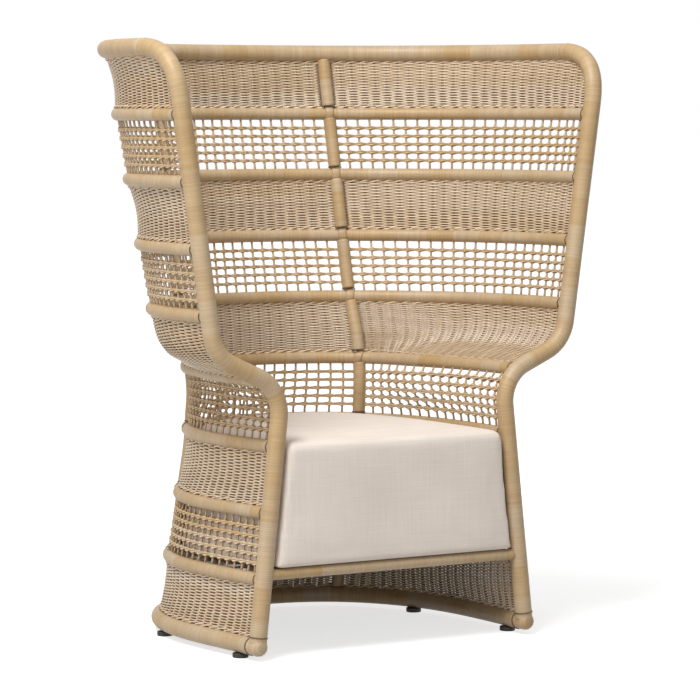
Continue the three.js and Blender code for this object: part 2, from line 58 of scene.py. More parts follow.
# Places taken from the frame
BASE_LOW, BASE_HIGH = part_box("base_hoop")
RIM_LOW, RIM_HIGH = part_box("top_rim")
EDGE_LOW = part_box("edge_tube_right")[0]
HOOP_LOW, HOOP_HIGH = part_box("hoop_8")
RAIL_LOW, RAIL_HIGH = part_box("seat_front_rail")
BAR_LOW, BAR_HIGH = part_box("seat_bar_1")
DECK_LOW, DECK_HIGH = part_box("seat_deck")
COVER_LOW, COVER_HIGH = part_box("cushion_cover")
ZIP_LOW, ZIP_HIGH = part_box("cushion_zip")
FRAME_R = (BASE_HIGH.z - BASE_LOW.z) / 2
HOOP_R = (HOOP_HIGH.z - HOOP_LOW.z) / 2
RAIL_R = (RAIL_HIGH.z - RAIL_LOW.z) / 2
BAR_R = (BAR_HIGH.z - BAR_LOW.z) / 2
BASE_Z = (BASE_HIGH.z + BASE_LOW.z) / 2
FRONT_Y = EDGE_LOW.y + FRAME_R
RIM_HEIGHT = (RIM_HIGH.z + RIM_LOW.z) / 2 - BASE_Z
PANEL_COUNT = 9
PANEL_PITCH = RIM_HEIGHT / PANEL_COUNT


def length_field(name, description, default):
    """A length that a user may change."""
    return FloatProperty(name=name, description=description, default=default, unit="LENGTH")


def exponent_field(name, description, default):
    """An exponent of the shell's plan: 2 for an ellipse, more for a squarer one."""
    return FloatProperty(name=name, description=description, default=default, min=2.0)


def colour_field(name, description, default):
    """A colour that a user may change."""
    return FloatVectorProperty(
        name=name, description=description, default=default, subtype="COLOR", min=0.0, max=1.0
    )


class ChairShellSizes(bpy.types.PropertyGroup):
    """Driving sizes of the woven shell"""

    foot_half_width: length_field("Foot half-width", "Half-width at the base tube", 0.341)
    waist_half_width: length_field("Waist half-width", "Half-width at the corner below the arms", 0.281)
    waist_height: length_field("Waist height", "Height of the corner below the arms", 0.537)
    arm_half_width: length_field("Arm half-width", "Half-width at the corner above the arms", 0.443)
    arm_height: length_field("Arm height", "Height of the corner above the arms", 0.608)
    rim_half_width: length_field("Rim half-width", "Half-width at the top rim", RIM_HIGH.x - FRAME_R)
    arm_bend: length_field("Arm bend", "Radius of the front edge's two bends", 0.085)
    shoulder_softening: length_field(
        "Shoulder softening", "How far the bends spread at the rear posts", 0.110
    )
    soft_bend: length_field("Soft bend", "Radius of the bends at the rear posts", 0.250)
    rim_corner: length_field("Rim corner", "Radius of the top front corners", 0.115)
    foot_depth: length_field("Foot depth", "Depth of the base tube", 0.635)
    lumbar_depth: length_field("Lumbar depth", "Depth where the back bends", 0.560)
    lumbar_height: length_field("Lumbar height", "Height where the back bends", 0.570)
    lumbar_bend: length_field("Lumbar bend", "Radius of the back's bend", 0.600)
    rim_depth: length_field("Rim depth", "Depth of the top rim", RIM_HIGH.y - FRAME_R - FRONT_Y)
    wing_straight: length_field("Wing straight", "Straight stretch behind the front edges", 0.080)
    wing_bulge: length_field("Wing bulge", "How far the lower wings swell behind the front edge", 0.020)
    post_half_spacing: length_field("Post spacing", "Half the distance between the rear posts", 0.224)
    foot_roundness: exponent_field("Foot roundness", "Exponent of the plan at the floor", 2.75)
    arm_roundness: exponent_field("Arm roundness", "Exponent of the plan at the arms", 2.08)
    rim_roundness: exponent_field("Rim roundness", "Exponent of the plan at the rim", 2.22)


class ChairFibreSizes(bpy.types.PropertyGroup):
    """Sizes of the fibre and of how it is wound and woven"""

    wrap_pitch: length_field("Wrap pitch", "Width of one turn of fibre round a tube", 0.0036)
    wrap_groove: length_field("Wrap groove", "Depth between two turns", 0.00035)
    post_tube: length_field("Post radius", "Radius of the wrapped rear posts", 0.0145)
    stake_pitch: length_field("Stake pitch", "Distance between two stakes", 0.0267)
    stake_radius: length_field("Stake radius", "Radius of a stake", 0.0025)
    weft_pitch: length_field("Weft pitch", "Distance between two rows of the dense weave", 0.0031)
    weft_thickness: length_field("Weft thickness", "Thickness of a strand of the dense weave", 0.0023)
    weave_bow: length_field("Weave bow", "How far a dense panel bows into the seat", 0.006)
    twine_thickness: length_field("Twine thickness", "Thickness of a strand of the net's bands", 0.0028)
    twine_waist: length_field("Twine waist", "Half the height of a band between two stakes", 0.0010)
    twine_spread: length_field("Twine spread", "How far the band opens at a stake", 0.0010)
    twine_slant: length_field("Twine slant", "How far a strand climbs past a stake", 0.0009)
    net_bands: IntProperty(name="Net bands", description="Twined bands in an open panel", default=5, min=1)


class ChairCushionSizes(bpy.types.PropertyGroup):
    """Sizes of the loose seat cushion"""

    crown: length_field("Crown", "Rise of the cushion's top", 0.024)
    top_round: length_field("Top rounding", "Radius of the top edges", 0.016)
    bottom_round: length_field("Bottom rounding", "Radius of the bottom edges", 0.005)
    corner: length_field("Corner", "Radius of the front corners in plan", 0.010)
    draw_in: length_field("Draw-in", "How far the sides pull in at half height", 0.002)
    front: length_field("Front", "How far the front stands before the edge tubes' middle", 0.020)
    wall_gap: length_field("Wall gap", "Gap from the middle of the wall to the cushion", 0.0205)
    swell: length_field("Swell", "How far the filling may push the cover out", 0.003)
    voxel: length_field("Voxel", "Cell of the remeshed cover", 0.0085)


class ChairColours(bpy.types.PropertyGroup):
    """Colours of the chair and its backdrop"""

    wrap_light: colour_field("Wrap light", "Palest wound fibre", (0.525, 0.383, 0.217))
    wrap_dark: colour_field("Wrap dark", "Darkest wound fibre", (0.385, 0.257, 0.131))
    weave_light: colour_field("Weave light", "Palest woven fibre", (0.73, 0.575, 0.405))
    weave_dark: colour_field("Weave dark", "Darkest woven fibre", (0.48, 0.345, 0.21))
    twine_light: colour_field("Twine light", "Palest twined fibre", (0.79, 0.58, 0.35))
    twine_dark: colour_field("Twine dark", "Darkest twined fibre", (0.55, 0.375, 0.195))
    # Painted shade: fibre colour is mixed towards this one in creases, gaps and where strands pass behind
    painted_shade: colour_field("Painted Shade", "Shade between strands", (0.10, 0.052, 0.022))
    linen_light: colour_field("Linen light", "Pale linen threads", (0.80, 0.71, 0.63))
    linen_dark: colour_field("Linen dark", "Dark linen threads", (0.66, 0.58, 0.51))
    webbing: colour_field("Webbing", "Seat webbing", (0.10, 0.065, 0.04))
    glide: colour_field("Glide", "Floor glides", (0.012, 0.011, 0.010))
    bar: colour_field("Bar", "Seat bars", (0.42, 0.41, 0.39))
    backdrop: colour_field("Backdrop", "Floor", (0.55, 0.55, 0.55))


# Curves and the wall


def unit(vectors):
    """Vectors scaled to length one."""
    return vectors / np.linalg.norm(vectors, axis=-1, keepdims=True)


def smoothstep(value, low, high):
    """0 below low, 1 above high, and 3t^2 - 2t^3 between."""
    t = np.clip((value - low) / (high - low), 0.0, 1.0)
    return t * t * (3.0 - 2.0 * t)


def mix(a, b, share):
    """a at share 0, b at share 1."""
    return a + (b - a) * share


BEND_STEPS = 24
OVERRUN = 0.2


def bent_line(corners, radius):
    """A polyline of (width, height) corners whose inner corners are arcs of one radius. It runs on
    straight at both ends."""
    corners = [np.array(c, float) for c in corners]
    points = [corners[0] - unit(corners[1] - corners[0]) * OVERRUN]
    for before, corner, after in zip(corners, corners[1:], corners[2:]):
        into = unit(corner - before)
        away = unit(after - corner)
        turn = math.atan2(into[0] * away[1] - into[1] * away[0], into @ away)
        start = corner - into * radius * math.tan(abs(turn) / 2)
        side = np.array([-into[1], into[0]]) * math.copysign(1.0, turn)
        angles = np.linspace(0.0, abs(turn), BEND_STEPS)[:, None]
        points += list(start + into * radius * np.sin(angles) + side * radius * (1.0 - np.cos(angles)))
    points.append(corners[-1] + unit(corners[-1] - corners[-2]) * OVERRUN)
    return np.array(points)


BACK_SHARE = 0.9
SOFT_SHARE = 0.35
SHARP_SHARE = 0.62
BULGE_SHARE = 0.55
ROUNDING_POWER = 1.5
STEP = 1e-4
PACES = 6
HALVINGS = 40


class Shell:
    """The wall's middle surface. Across runs from -1, the left front edge, through 0, the middle of the
    back, to 1, the right front edge, and height is above the base tube's centre line."""

    def __init__(self, sizes):
        self.sizes = sizes
        foot = np.array([sizes.foot_half_width, 0.0])
        waist = np.array([sizes.waist_half_width, sizes.waist_height])
        arm = np.array([sizes.arm_half_width, sizes.arm_height])
        rim = np.array([sizes.rim_half_width, RIM_HEIGHT])
        soft_waist = mix(waist, foot, sizes.shoulder_softening / sizes.waist_height)
        soft_arm = mix(arm, rim, sizes.shoulder_softening / (RIM_HEIGHT - sizes.arm_height))
        self.sharp = bent_line([foot, waist, arm, rim], sizes.arm_bend)
        self.soft = bent_line([foot, soft_waist, soft_arm, rim], sizes.soft_bend)
        heel = (sizes.foot_depth, 0.0)
        lumbar = (sizes.lumbar_depth, sizes.lumbar_height)
        self.back = bent_line([heel, lumbar, (sizes.rim_depth, RIM_HEIGHT)], sizes.lumbar_bend)

    @staticmethod
    def at(line, height):
        """A bent line's width at heights."""
        return np.interp(height, line[:, 1], line[:, 0])

    def roundness(self, height):
        """Exponent of the plan: full at the foot, roundest at the arms, a little fuller again at the
        rim."""
        s = self.sizes
        below = np.clip(height / s.arm_height, 0.0, 1.0)
        above = np.clip((height - s.arm_height) / (RIM_HEIGHT - s.arm_height), 0.0, 1.0)
        plain = mix(s.foot_roundness, s.arm_roundness, below**ROUNDING_POWER)
        return plain + (s.rim_roundness - s.arm_roundness) * above

    def half_width(self, share, height):
        """The soft outline at the posts, the sharp one along the wings, and a slight bulge below the
        waist."""
        s = self.sizes
        sharpness = smoothstep(share, SOFT_SHARE, SHARP_SHARE)
        plain = mix(self.at(self.soft, height), self.at(self.sharp, height), sharpness)
        below = 1.0 - smoothstep(height, s.waist_height - s.shoulder_softening, s.waist_height)
        behind = 1.0 - smoothstep(share, BULGE_SHARE, 1.0)
        return plain + s.wing_bulge * below * behind

    def point(self, across, height):
        """A superellipse round the back, then a straight stretch to each front edge."""
        across, height = np.broadcast_arrays(across, height)
        share = np.abs(across)
        n = self.roundness(height)
        turn = np.minimum(share / BACK_SHARE, 1.0) * (math.pi / 2)
        sine = np.sin(turn)
        cosine = np.maximum(np.cos(turn), 0.0)
        reach = (sine**n + cosine**n) ** (-1.0 / n)
        straight = np.maximum(share - BACK_SHARE, 0.0) / (1.0 - BACK_SHARE)
        fore = self.sizes.wing_straight
        depth = fore * (1.0 - straight) + (self.at(self.back, height) - fore) * reach * cosine
        x = np.sign(across) * self.half_width(share, height) * reach * sine
        return np.stack([x, FRONT_Y + depth, BASE_Z + height], axis=-1)

    def slopes(self, across, height):
        """Change of the point for a unit of across and for a unit of height."""
        along = (self.point(across + STEP, height) - self.point(across - STEP, height)) / (2 * STEP)
        up = (self.point(across, height + STEP) - self.point(across, height - STEP)) / (2 * STEP)
        return along, up

    def inward(self, across, height):
        """Unit normal that points into the seat."""
        along, up = self.slopes(across, height)
        return unit(np.cross(along, up))

    def along_wall(self, across, height, distance):
        """The place a short distance further along the wall."""
        return across + distance / np.linalg.norm(self.slopes(across, height)[0], axis=-1)

    def up_wall(self, across, height, distance):
        """The height a distance further up the wall, paced out because the wall bends."""
        for _ in range(PACES):
            height = height + distance / PACES / np.linalg.norm(self.slopes(across, height)[1], axis=-1)
        return height

    def post(self, height):
        """The right-hand place where the rear post stands."""
        n = self.roundness(height)
        share = (self.sizes.post_half_spacing / self.half_width(0.0, height)) ** n
        return np.arctan((share / (1.0 - share)) ** (1.0 / n)) / (math.pi / 2) * BACK_SHARE

    def corner_reach(self, below):
        """How far the rounded top corner eats into a row a distance d below the rim: R (1 - sqrt(d /
        R))^2."""
        radius = self.sizes.rim_corner
        share = np.sqrt(np.clip(below, 0.0, radius) / radius)
        return radius * (1.0 - share) ** 2

    def at_depth(self, depth, height):
        """The right-hand place where the wall, run on before the front edge, passes a depth, by halving."""
        low = np.zeros(np.shape(height))
        high = np.full(np.shape(height), 2.0 - BACK_SHARE)
        for _ in range(HALVINGS):
            middle = (low + high) / 2
            behind = self.point(middle, height)[..., 1] > FRONT_Y + depth
            low = np.where(behind, middle, low)
            high = np.where(behind, high, middle)
        return (low + high) / 2


# Strands and meshes

UP = np.array([0.0, 0.0, 1.0])
SIDEWAYS = np.array([1.0, 0.0, 0.0])
FORWARD = np.array([0.0, -1.0, 0.0])


def swept(path, normal, half_width, half_depth, sides):
    """An ellipse carried along paths [strand, station, xyz]: half_depth along the normal, half_width
    across."""
    tangent = unit(np.gradient(path, axis=1))
    across = unit(np.cross(np.broadcast_to(normal, path.shape), tangent))
    deep = np.cross(tangent, across)
    angle = np.arange(sides) * (2 * math.pi / sides)
    wide = np.broadcast_to(half_width, path.shape[:2])[..., None, None] * across[:, :, None, :]
    thick = np.broadcast_to(half_depth, path.shape[:2])[..., None, None] * deep[:, :, None, :]
    return path[:, :, None, :] + wide * np.cos(angle)[:, None] + thick * np.sin(angle)[:, None]


def facing_seat(sides):
    """How far each side of a swept ellipse faces along its normal: the sine of its angle."""
    return np.sin(np.arange(sides) * (2 * math.pi / sides))


# A strand's number lies half-way between two whole ones, so that rounding down never splits it
STRAND_MIDDLE = 0.5


def bundle(sections, strand, painted_light=1.0):
    """Strands as sections [strand, station, side, xyz], with each one's number and the painted light in its
    creases and gaps."""
    shape = sections.shape[:3]
    return sections, np.broadcast_to(strand, shape), np.broadcast_to(painted_light, shape)


def even_path(points, step):
    """Points at even distances along a polyline, and their distances from its start."""
    lengths = np.concatenate([[0.0], np.cumsum(np.linalg.norm(np.diff(points, axis=0), axis=1))])
    count = max(int(round(lengths[-1] / step)), 2)
    along = np.linspace(0.0, lengths[-1], count + 1)
    return np.stack([np.interp(along, lengths, points[:, k]) for k in range(3)], axis=1), along


WRAP_STATIONS = 3
TUBE_SIDES = 14
END_ROUND = 0.0025
GROOVE_LIGHT = 0.72
FIRST_TURN = 0.02


def wound_tube(points, radius, normal, fibre, first=0.0, depth_share=1.0, end_round=END_ROUND):
    """A tube wound with one layer of fibre. Its radius is R - groove (1 - |sin(pi s / pitch)|) at a
    distance s, and it rounds off at both ends. depth_share flattens it along the normal."""
    path, along = even_path(points, fibre.wrap_pitch / WRAP_STATIONS)
    turn = along / fibre.wrap_pitch
    crown = np.abs(np.sin(math.pi * turn))
    inset = np.clip(1.0 - np.minimum(along, along[-1] - along) / end_round, 0.0, 1.0)
    cap = end_round * (1.0 - np.sqrt(1.0 - inset**2))
    wound = (radius - fibre.wrap_groove * (1.0 - crown) - np.minimum(cap, radius / 2))[None]
    sections = swept(path[None], normal, wound, wound * depth_share, TUBE_SIDES)
    # Painted shade: the colour darkens towards the groove between two turns
    light = mix(GROOVE_LIGHT, 1.0, crown)
    return bundle(sections, (first + turn + FIRST_TURN)[None, :, None], light[None, :, None])


def bundle_faces(shape, first):
    """Loops of the quads and end caps of a bundle whose vertices start at an index."""
    strands, stations, sides = shape
    index = first + np.arange(strands * stations * sides).reshape(shape)
    near = index[:, :-1]
    far = index[:, 1:]
    quads = np.stack([near, np.roll(near, -1, 2), np.roll(far, -1, 2), far], axis=-1).reshape(-1, 4)
    caps = np.concatenate([index[:, 0, ::-1], index[:, -1]])
    return quads, caps


def bundle_mesh(name, bundles):
    """One smooth mesh of closed strands, with the strand and the painted light of each vertex as attributes.
    """
    first = 0
    loops = []
    totals = []
    for sections, _, _ in bundles:
        for faces in bundle_faces(sections.shape[:3], first):
            loops.append(faces.ravel())
            totals.append(np.full(len(faces), faces.shape[1]))
        first += sections[..., 0].size
    loops = np.concatenate(loops).astype(np.int32)
    totals = np.concatenate(totals)
    starts = np.concatenate([[0], np.cumsum(totals)[:-1]]).astype(np.int32)
    points = np.concatenate([sections.reshape(-1, 3) for sections, _, _ in bundles])
    mesh = bpy.data.meshes.new(name)
    mesh.vertices.add(len(points))
    mesh.vertices.foreach_set("co", points.astype(np.float32).ravel())
    mesh.loops.add(len(loops))
    mesh.loops.foreach_set("vertex_index", loops)
    mesh.polygons.add(len(totals))
    mesh.polygons.foreach_set("loop_start", starts)
    for key, place in (("strand", 1), ("painted_light", 2)):
        values = np.concatenate([made[place].ravel() for made in bundles]).astype(np.float32)
        mesh.attributes.new(key, "FLOAT", "POINT").data.foreach_set("value", values)
    mesh.update(calc_edges=True)
    mesh.shade_smooth()
    return mesh


def add_piece(name, mesh, material, slot, *nodes):
    """An object of the chair that rides on its body and stands for CAD nodes."""
    piece = bpy.data.objects.new(name, mesh)
    bpy.context.scene.collection.objects.link(piece)
    mesh.materials.append(material)
    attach(piece, BODY)
    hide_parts(*nodes)
    return piece


# Materials


def new_group(name, inputs, outputs):
    """An empty shader node group with named sockets, its input node and its output node."""
    group = bpy.data.node_groups.new(name, "ShaderNodeTree")
    for socket, kind in inputs:
        group.interface.new_socket(socket, in_out="INPUT", socket_type=kind)
    for socket, kind in outputs:
        group.interface.new_socket(socket, in_out="OUTPUT", socket_type=kind)
    return group, group.nodes.new("NodeGroupInput"), group.nodes.new("NodeGroupOutput")


def calculate(tree, operation, first, second=0.0):
    """A math node's output, fed by sockets or numbers."""
    node = tree.nodes.new("ShaderNodeMath")
    node.operation = operation
    for socket, value in zip(node.inputs, (first, second)):
        if isinstance(value, float):
            socket.default_value = value
        else:
            tree.links.new(value, socket)
    return node.outputs[0]


def scaled(tree, value, factor, offset):
    """A value times a factor plus an offset, which is a socket or a number."""
    result = calculate(tree, "MULTIPLY_ADD", value, factor)
    if isinstance(offset, float):
        result.node.inputs[2].default_value = offset
    else:
        tree.links.new(offset, result.node.inputs[2])
    return result


def noise(tree, scale, vector):
    """A noise texture's value over coordinates."""
    node = tree.nodes.new("ShaderNodeTexNoise")
    node.inputs["Scale"].default_value = scale
    tree.links.new(vector, node.inputs["Vector"])
    return node.outputs[0]


def random_by(tree, number):
    """A random value that depends on one number."""
    node = tree.nodes.new("ShaderNodeTexWhiteNoise")
    node.noise_dimensions = "1D"
    tree.links.new(number, node.inputs["W"])
    return node.outputs["Value"]


def stretched(tree, vector, scale):
    """Coordinates stretched by a factor along each axis."""
    node = tree.nodes.new("ShaderNodeMapping")
    node.inputs["Scale"].default_value = scale
    tree.links.new(vector, node.inputs["Vector"])
    return node.outputs[0]


def blended(tree, factor, first, second, mode="MIX"):
    """A colour mix node's output."""
    node = tree.nodes.new("ShaderNodeMix")
    node.data_type = "RGBA"
    node.blend_type = mode
    for socket, value in ((node.inputs[0], factor), (node.inputs[6], first), (node.inputs[7], second)):
        if isinstance(value, float):
            socket.default_value = value
        else:
            tree.links.new(value, socket)
    return node.outputs[2]


FINISH = (("Color", "NodeSocketColor"), ("Roughness", "NodeSocketFloat"), ("Height", "NodeSocketFloat"))
TURNS_OF_A_STRIP = 19.0
BLOTCH_SCALE = 26.0
GRAIN_SCALE = 900.0
STRAND_TONE = (0.36, -0.18)
STRIP_TONE = (0.3, -0.15)
BLOTCH_TONE = (0.7, 0.2)
STRIP_TINT = (-0.24, 1.10)
GRAIN_GLOSS = (0.25, 0.33)


def fibre_group():
    """Tone of a strand of fibre: each strand differs a little, each strip of some turns has its own tone
    and tint, blotches cross them, painted shade darkens creases and gaps where the painted light is low,
    and fine grain roughens the surface."""
    group, given, result = new_group(
        "Fibre Tone",
        [("Light", "NodeSocketColor"), ("Dark", "NodeSocketColor"), ("Painted Shade", "NodeSocketColor"),
         ("Strand", "NodeSocketFloat"), ("Painted Light", "NodeSocketFloat"), ("Coordinates", "NodeSocketVector")],
        FINISH,
    )
    strand = given.outputs["Strand"]
    place = given.outputs["Coordinates"]
    single = random_by(group, calculate(group, "FLOOR", strand))
    strip = random_by(group, calculate(group, "FLOOR", calculate(group, "DIVIDE", strand, TURNS_OF_A_STRIP)))
    grain = noise(group, GRAIN_SCALE, place)
    tone = calculate(group, "ADD", scaled(group, single, *STRAND_TONE), scaled(group, strip, *STRIP_TONE))
    total = calculate(group, "ADD", tone, scaled(group, noise(group, BLOTCH_SCALE, place), *BLOTCH_TONE))
    total.node.use_clamp = True
    tint = group.nodes.new("ShaderNodeHueSaturation")
    plain = blended(group, total, given.outputs["Dark"], given.outputs["Light"])
    group.links.new(scaled(group, strip, *STRIP_TINT), tint.inputs["Saturation"])
    group.links.new(plain, tint.inputs["Color"])
    # Painted shade: where the painted light is low, the colour turns towards the painted shade colour
    shaded = blended(group, given.outputs["Painted Light"], given.outputs["Painted Shade"], tint.outputs["Color"])
    group.links.new(shaded, result.inputs["Color"])
    group.links.new(scaled(group, grain, *GRAIN_GLOSS), result.inputs["Roughness"])
    group.links.new(grain, result.inputs["Height"])
    return group


THREAD_SCALES = ((520.0, 9.0, 9.0), (9.0, 520.0, 9.0), (9.0, 9.0, 520.0))
SLUB_SCALE = 7.0
THREAD_TONE = (0.9, -1.05)
SLUB_TONE = 0.4
THREAD_GLOSS = (0.1, 0.72)


def linen_group():
    """Slubby linen: threads along each axis vary in tone, and a fine cross weave raises them."""
    group, given, result = new_group(
        "Slub Threads",
        [("Light", "NodeSocketColor"), ("Dark", "NodeSocketColor"), ("Coordinates", "NodeSocketVector")],
        FINISH,
    )
    place = given.outputs["Coordinates"]
    threads = [noise(group, 1.0, stretched(group, place, scale)) for scale in THREAD_SCALES]
    weave = calculate(group, "ADD", calculate(group, "ADD", threads[0], threads[1]), threads[2])
    tone = scaled(group, weave, *THREAD_TONE)
    total = scaled(group, noise(group, SLUB_SCALE, place), SLUB_TONE, tone)
    total.node.use_clamp = True
    colour = blended(group, total, given.outputs["Dark"], given.outputs["Light"])
    group.links.new(colour, result.inputs["Color"])
    group.links.new(scaled(group, weave, *THREAD_GLOSS), result.inputs["Roughness"])
    group.links.new(weave, result.inputs["Height"])
    return group


MOTTLE_DETAIL = 3.0
MOTTLE_TONE = (0.7, 0.65)
MOTTLE_GLOSS = 0.3


def surface_group():
    """A plain surface that is mottled a little in tone, in gloss and in height."""
    group, given, result = new_group(
        "Worn Surface",
        [("Base", "NodeSocketColor"), ("Scale", "NodeSocketFloat"), ("Gloss", "NodeSocketFloat"),
         ("Coordinates", "NodeSocketVector")],
        FINISH,
    )
    speck = group.nodes.new("ShaderNodeTexNoise")
    speck.inputs["Detail"].default_value = MOTTLE_DETAIL
    group.links.new(given.outputs["Coordinates"], speck.inputs["Vector"])
    group.links.new(given.outputs["Scale"], speck.inputs["Scale"])
    tone = scaled(group, speck.outputs[0], *MOTTLE_TONE)
    rough = scaled(group, speck.outputs[0], MOTTLE_GLOSS, given.outputs["Gloss"])
    group.links.new(blended(group, 1.0, given.outputs["Base"], tone, "MULTIPLY"), result.inputs["Color"])
    group.links.new(rough, result.inputs["Roughness"])
    group.links.new(speck.outputs[0], result.inputs["Height"])
    return group


# Distance and strength of each finish's bump
FIBRE_BUMP = (0.0002, 0.25)
LINEN_BUMP = (0.0004, 0.35)
SURFACE_BUMP = (0.0003, 0.3)

FIBRE_SPECULAR = 0.45
LINEN_SPECULAR = 0.2
LINEN_SHEEN = 0.25
SHEEN_ROUGHNESS = 0.6


def group_material(name, group, values, relief, attributes=()):
    """A Principled material whose colour, roughness and height come from a node group over Object
    coordinates."""
    material = bpy.data.materials.new(name)
    material.use_nodes = True
    tree = material.node_tree
    shader = tree.nodes["Principled BSDF"]
    tone = tree.nodes.new("ShaderNodeGroup")
    tone.node_tree = group
    for key, value in values.items():
        tone.inputs[key].default_value = value
    place = tree.nodes.new("ShaderNodeTexCoord")
    tree.links.new(place.outputs["Object"], tone.inputs["Coordinates"])
    for socket, attribute in attributes:
        read = tree.nodes.new("ShaderNodeAttribute")
        read.attribute_name = attribute
        tree.links.new(read.outputs["Fac"], tone.inputs[socket])
    bump = tree.nodes.new("ShaderNodeBump")
    bump.inputs["Distance"].default_value, bump.inputs["Strength"].default_value = relief
    tree.links.new(tone.outputs["Color"], shader.inputs["Base Color"])
    tree.links.new(tone.outputs["Roughness"], shader.inputs["Roughness"])
    tree.links.new(tone.outputs["Height"], bump.inputs["Height"])
    tree.links.new(bump.outputs["Normal"], shader.inputs["Normal"])
    return material, shader


def opaque(colour):
    """A colour with full alpha."""
    return (*colour, 1.0)


def fibre_material(name, light, dark):
    """Satin tan fibre."""
    if name in bpy.data.materials:
        return bpy.data.materials[name]
    group = bpy.data.node_groups.get("Fibre Tone") or fibre_group()
    painted_shade = bpy.context.scene.chair_colours.painted_shade
    values = {"Light": opaque(light), "Dark": opaque(dark), "Painted Shade": opaque(painted_shade)}
    marks = (("Strand", "strand"), ("Painted Light", "painted_light"))
    material, shader = group_material(name, group, values, FIBRE_BUMP, marks)
    shader.inputs["Specular IOR Level"].default_value = FIBRE_SPECULAR
    return material


def wrapped_fibre():
    """Fibre wound round the tubes."""
    colours = bpy.context.scene.chair_colours
    return fibre_material("Wrapped Fibre", colours.wrap_light, colours.wrap_dark)


def woven_fibre():
    """Fibre woven into the panels, paler than the windings."""
    colours = bpy.context.scene.chair_colours
    return fibre_material("Woven Fibre", colours.weave_light, colours.weave_dark)


def twined_fibre():
    """Fibre twined into the nets, warmer than the dense weave."""
    colours = bpy.context.scene.chair_colours
    return fibre_material("Twined Fibre", colours.twine_light, colours.twine_dark)


def linen_material():
    """Matte slubby linen."""
    colours = bpy.context.scene.chair_colours
    values = {"Light": opaque(colours.linen_light), "Dark": opaque(colours.linen_dark)}
    material, shader = group_material("Cream Linen", linen_group(), values, LINEN_BUMP)
    shader.inputs["Specular IOR Level"].default_value = LINEN_SPECULAR
    shader.inputs["Sheen Weight"].default_value = LINEN_SHEEN
    shader.inputs["Sheen Roughness"].default_value = SHEEN_ROUGHNESS
    return material


def plain_material(name, colour, scale, gloss, metallic=0.0):
    """A mottled plain material."""
    if name in bpy.data.materials:
        return bpy.data.materials[name]
    group = bpy.data.node_groups.get("Worn Surface") or surface_group()
    values = {"Base": opaque(colour), "Scale": scale, "Gloss": gloss}
    material, shader = group_material(name, group, values, SURFACE_BUMP)
    shader.inputs["Metallic"].default_value = metallic
    return material


# Wrapped tubes

PATH_POINTS = 400
BURIED = 0.6

# Each tube, rail and panel starts its count of strands a thousand past the one before
STRANDS_APART = 1000.0
BASE_NUMBERS = 1
EDGE_NUMBERS = 2
HOOP_NUMBERS = 3
POST_NUMBERS = 13
RAIL_NUMBERS = 16
PANEL_NUMBERS = 20


def shell_path(shell, start, end, height):
    """A run of the wall at one height."""
    return shell.point(np.linspace(start, end, PATH_POINTS), height)


def corner_end(shell):
    """The place on the rim where the rounded top corner ends."""
    return shell.along_wall(1.0, RIM_HEIGHT, -shell.sizes.rim_corner)


FOOT_START = 0.006


def edge_path(shell):
    """The right front edge: up the sharp outline, then a quadratic arc round the top corner into the
    rim."""
    sizes = shell.sizes
    top = np.array([sizes.rim_half_width, FRONT_Y, BASE_Z + RIM_HEIGHT])
    lean = unit(np.append(sizes.rim_half_width - sizes.arm_half_width, RIM_HEIGHT - sizes.arm_height))
    heights = np.linspace(FOOT_START, RIM_HEIGHT - sizes.rim_corner * lean[1], PATH_POINTS)
    widths = shell.at(shell.sharp, heights)
    straight = np.stack([widths, np.full_like(widths, FRONT_Y), BASE_Z + heights], axis=1)
    end = shell.point(corner_end(shell), RIM_HEIGHT)
    t = np.linspace(0.0, 1.0, BEND_STEPS)[1:, None]
    corner = straight[-1] * (1 - t) ** 2 + 2 * top * t * (1 - t) + end * t**2
    return np.concatenate([straight, corner])


MIRROR = np.array([-1.0, 1.0, 1.0])
BASE_END_ROUND = 0.013


class CHAIR_OT_wrapped_frame(bpy.types.Operator):
    """Wind the top rim, the base tube and the two front edge tubes"""

    bl_idname = "chair.wrapped_frame"
    bl_label = "Wrapped Frame"

    def execute(self, context):
        shell = Shell(context.scene.chair_shell)
        fibre = context.scene.chair_fibre
        material = wrapped_fibre()
        end = corner_end(shell)
        rim = wound_tube(shell_path(shell, end, -end, RIM_HEIGHT), FRAME_R, UP, fibre)
        mesh = bundle_mesh("wrapped_top_rim", [rim])
        add_piece("wrapped_top_rim", mesh, material, "fibre_wrap", "top_rim")
        toe = shell.along_wall(1.0, 0.0, FRAME_R)
        path = shell_path(shell, toe, -toe, 0.0)
        first = BASE_NUMBERS * STRANDS_APART
        base = wound_tube(path, FRAME_R, UP, fibre, first, end_round=BASE_END_ROUND)
        shade_rings = [end_shade_ring(shell, sign, 0.0, FRAME_R) for sign in (-1, 1)]
        mesh = bundle_mesh("wrapped_base", [base, *shade_rings])
        add_piece("wrapped_base", mesh, material, "fibre_wrap", "base_hoop")
        right = edge_path(shell)
        for side, path in (("right", right), ("left", right * MIRROR)):
            tube = wound_tube(path, FRAME_R, SIDEWAYS, fibre, EDGE_NUMBERS * STRANDS_APART)
            name = f"wrapped_edge_{side}"
            mesh = bundle_mesh(name, [tube, foot_shade_ring(path)])
            add_piece(name, mesh, material, "fibre_wrap", f"edge_tube_{side}")
        return {"FINISHED"}


SHADE_RING_POINTS = 48
SHADE_RING_RADIUS = 0.0016
POST_SHADE_RING_RADIUS = 0.0011
THIN_SIDES = 5


def dark_ring(centre, first, second, axis, radius, ring_thickness=SHADE_RING_RADIUS):
    """A thin ring of painted shade round a tube: a circle in the plane of two directions."""
    angle = np.linspace(0.0, 2 * math.pi, SHADE_RING_POINTS)[:, None]
    path = centre + radius * (first * np.cos(angle) + second * np.sin(angle))
    return bundle(swept(path[None], axis, ring_thickness, ring_thickness, THIN_SIDES), STRAND_MIDDLE, 0.0)


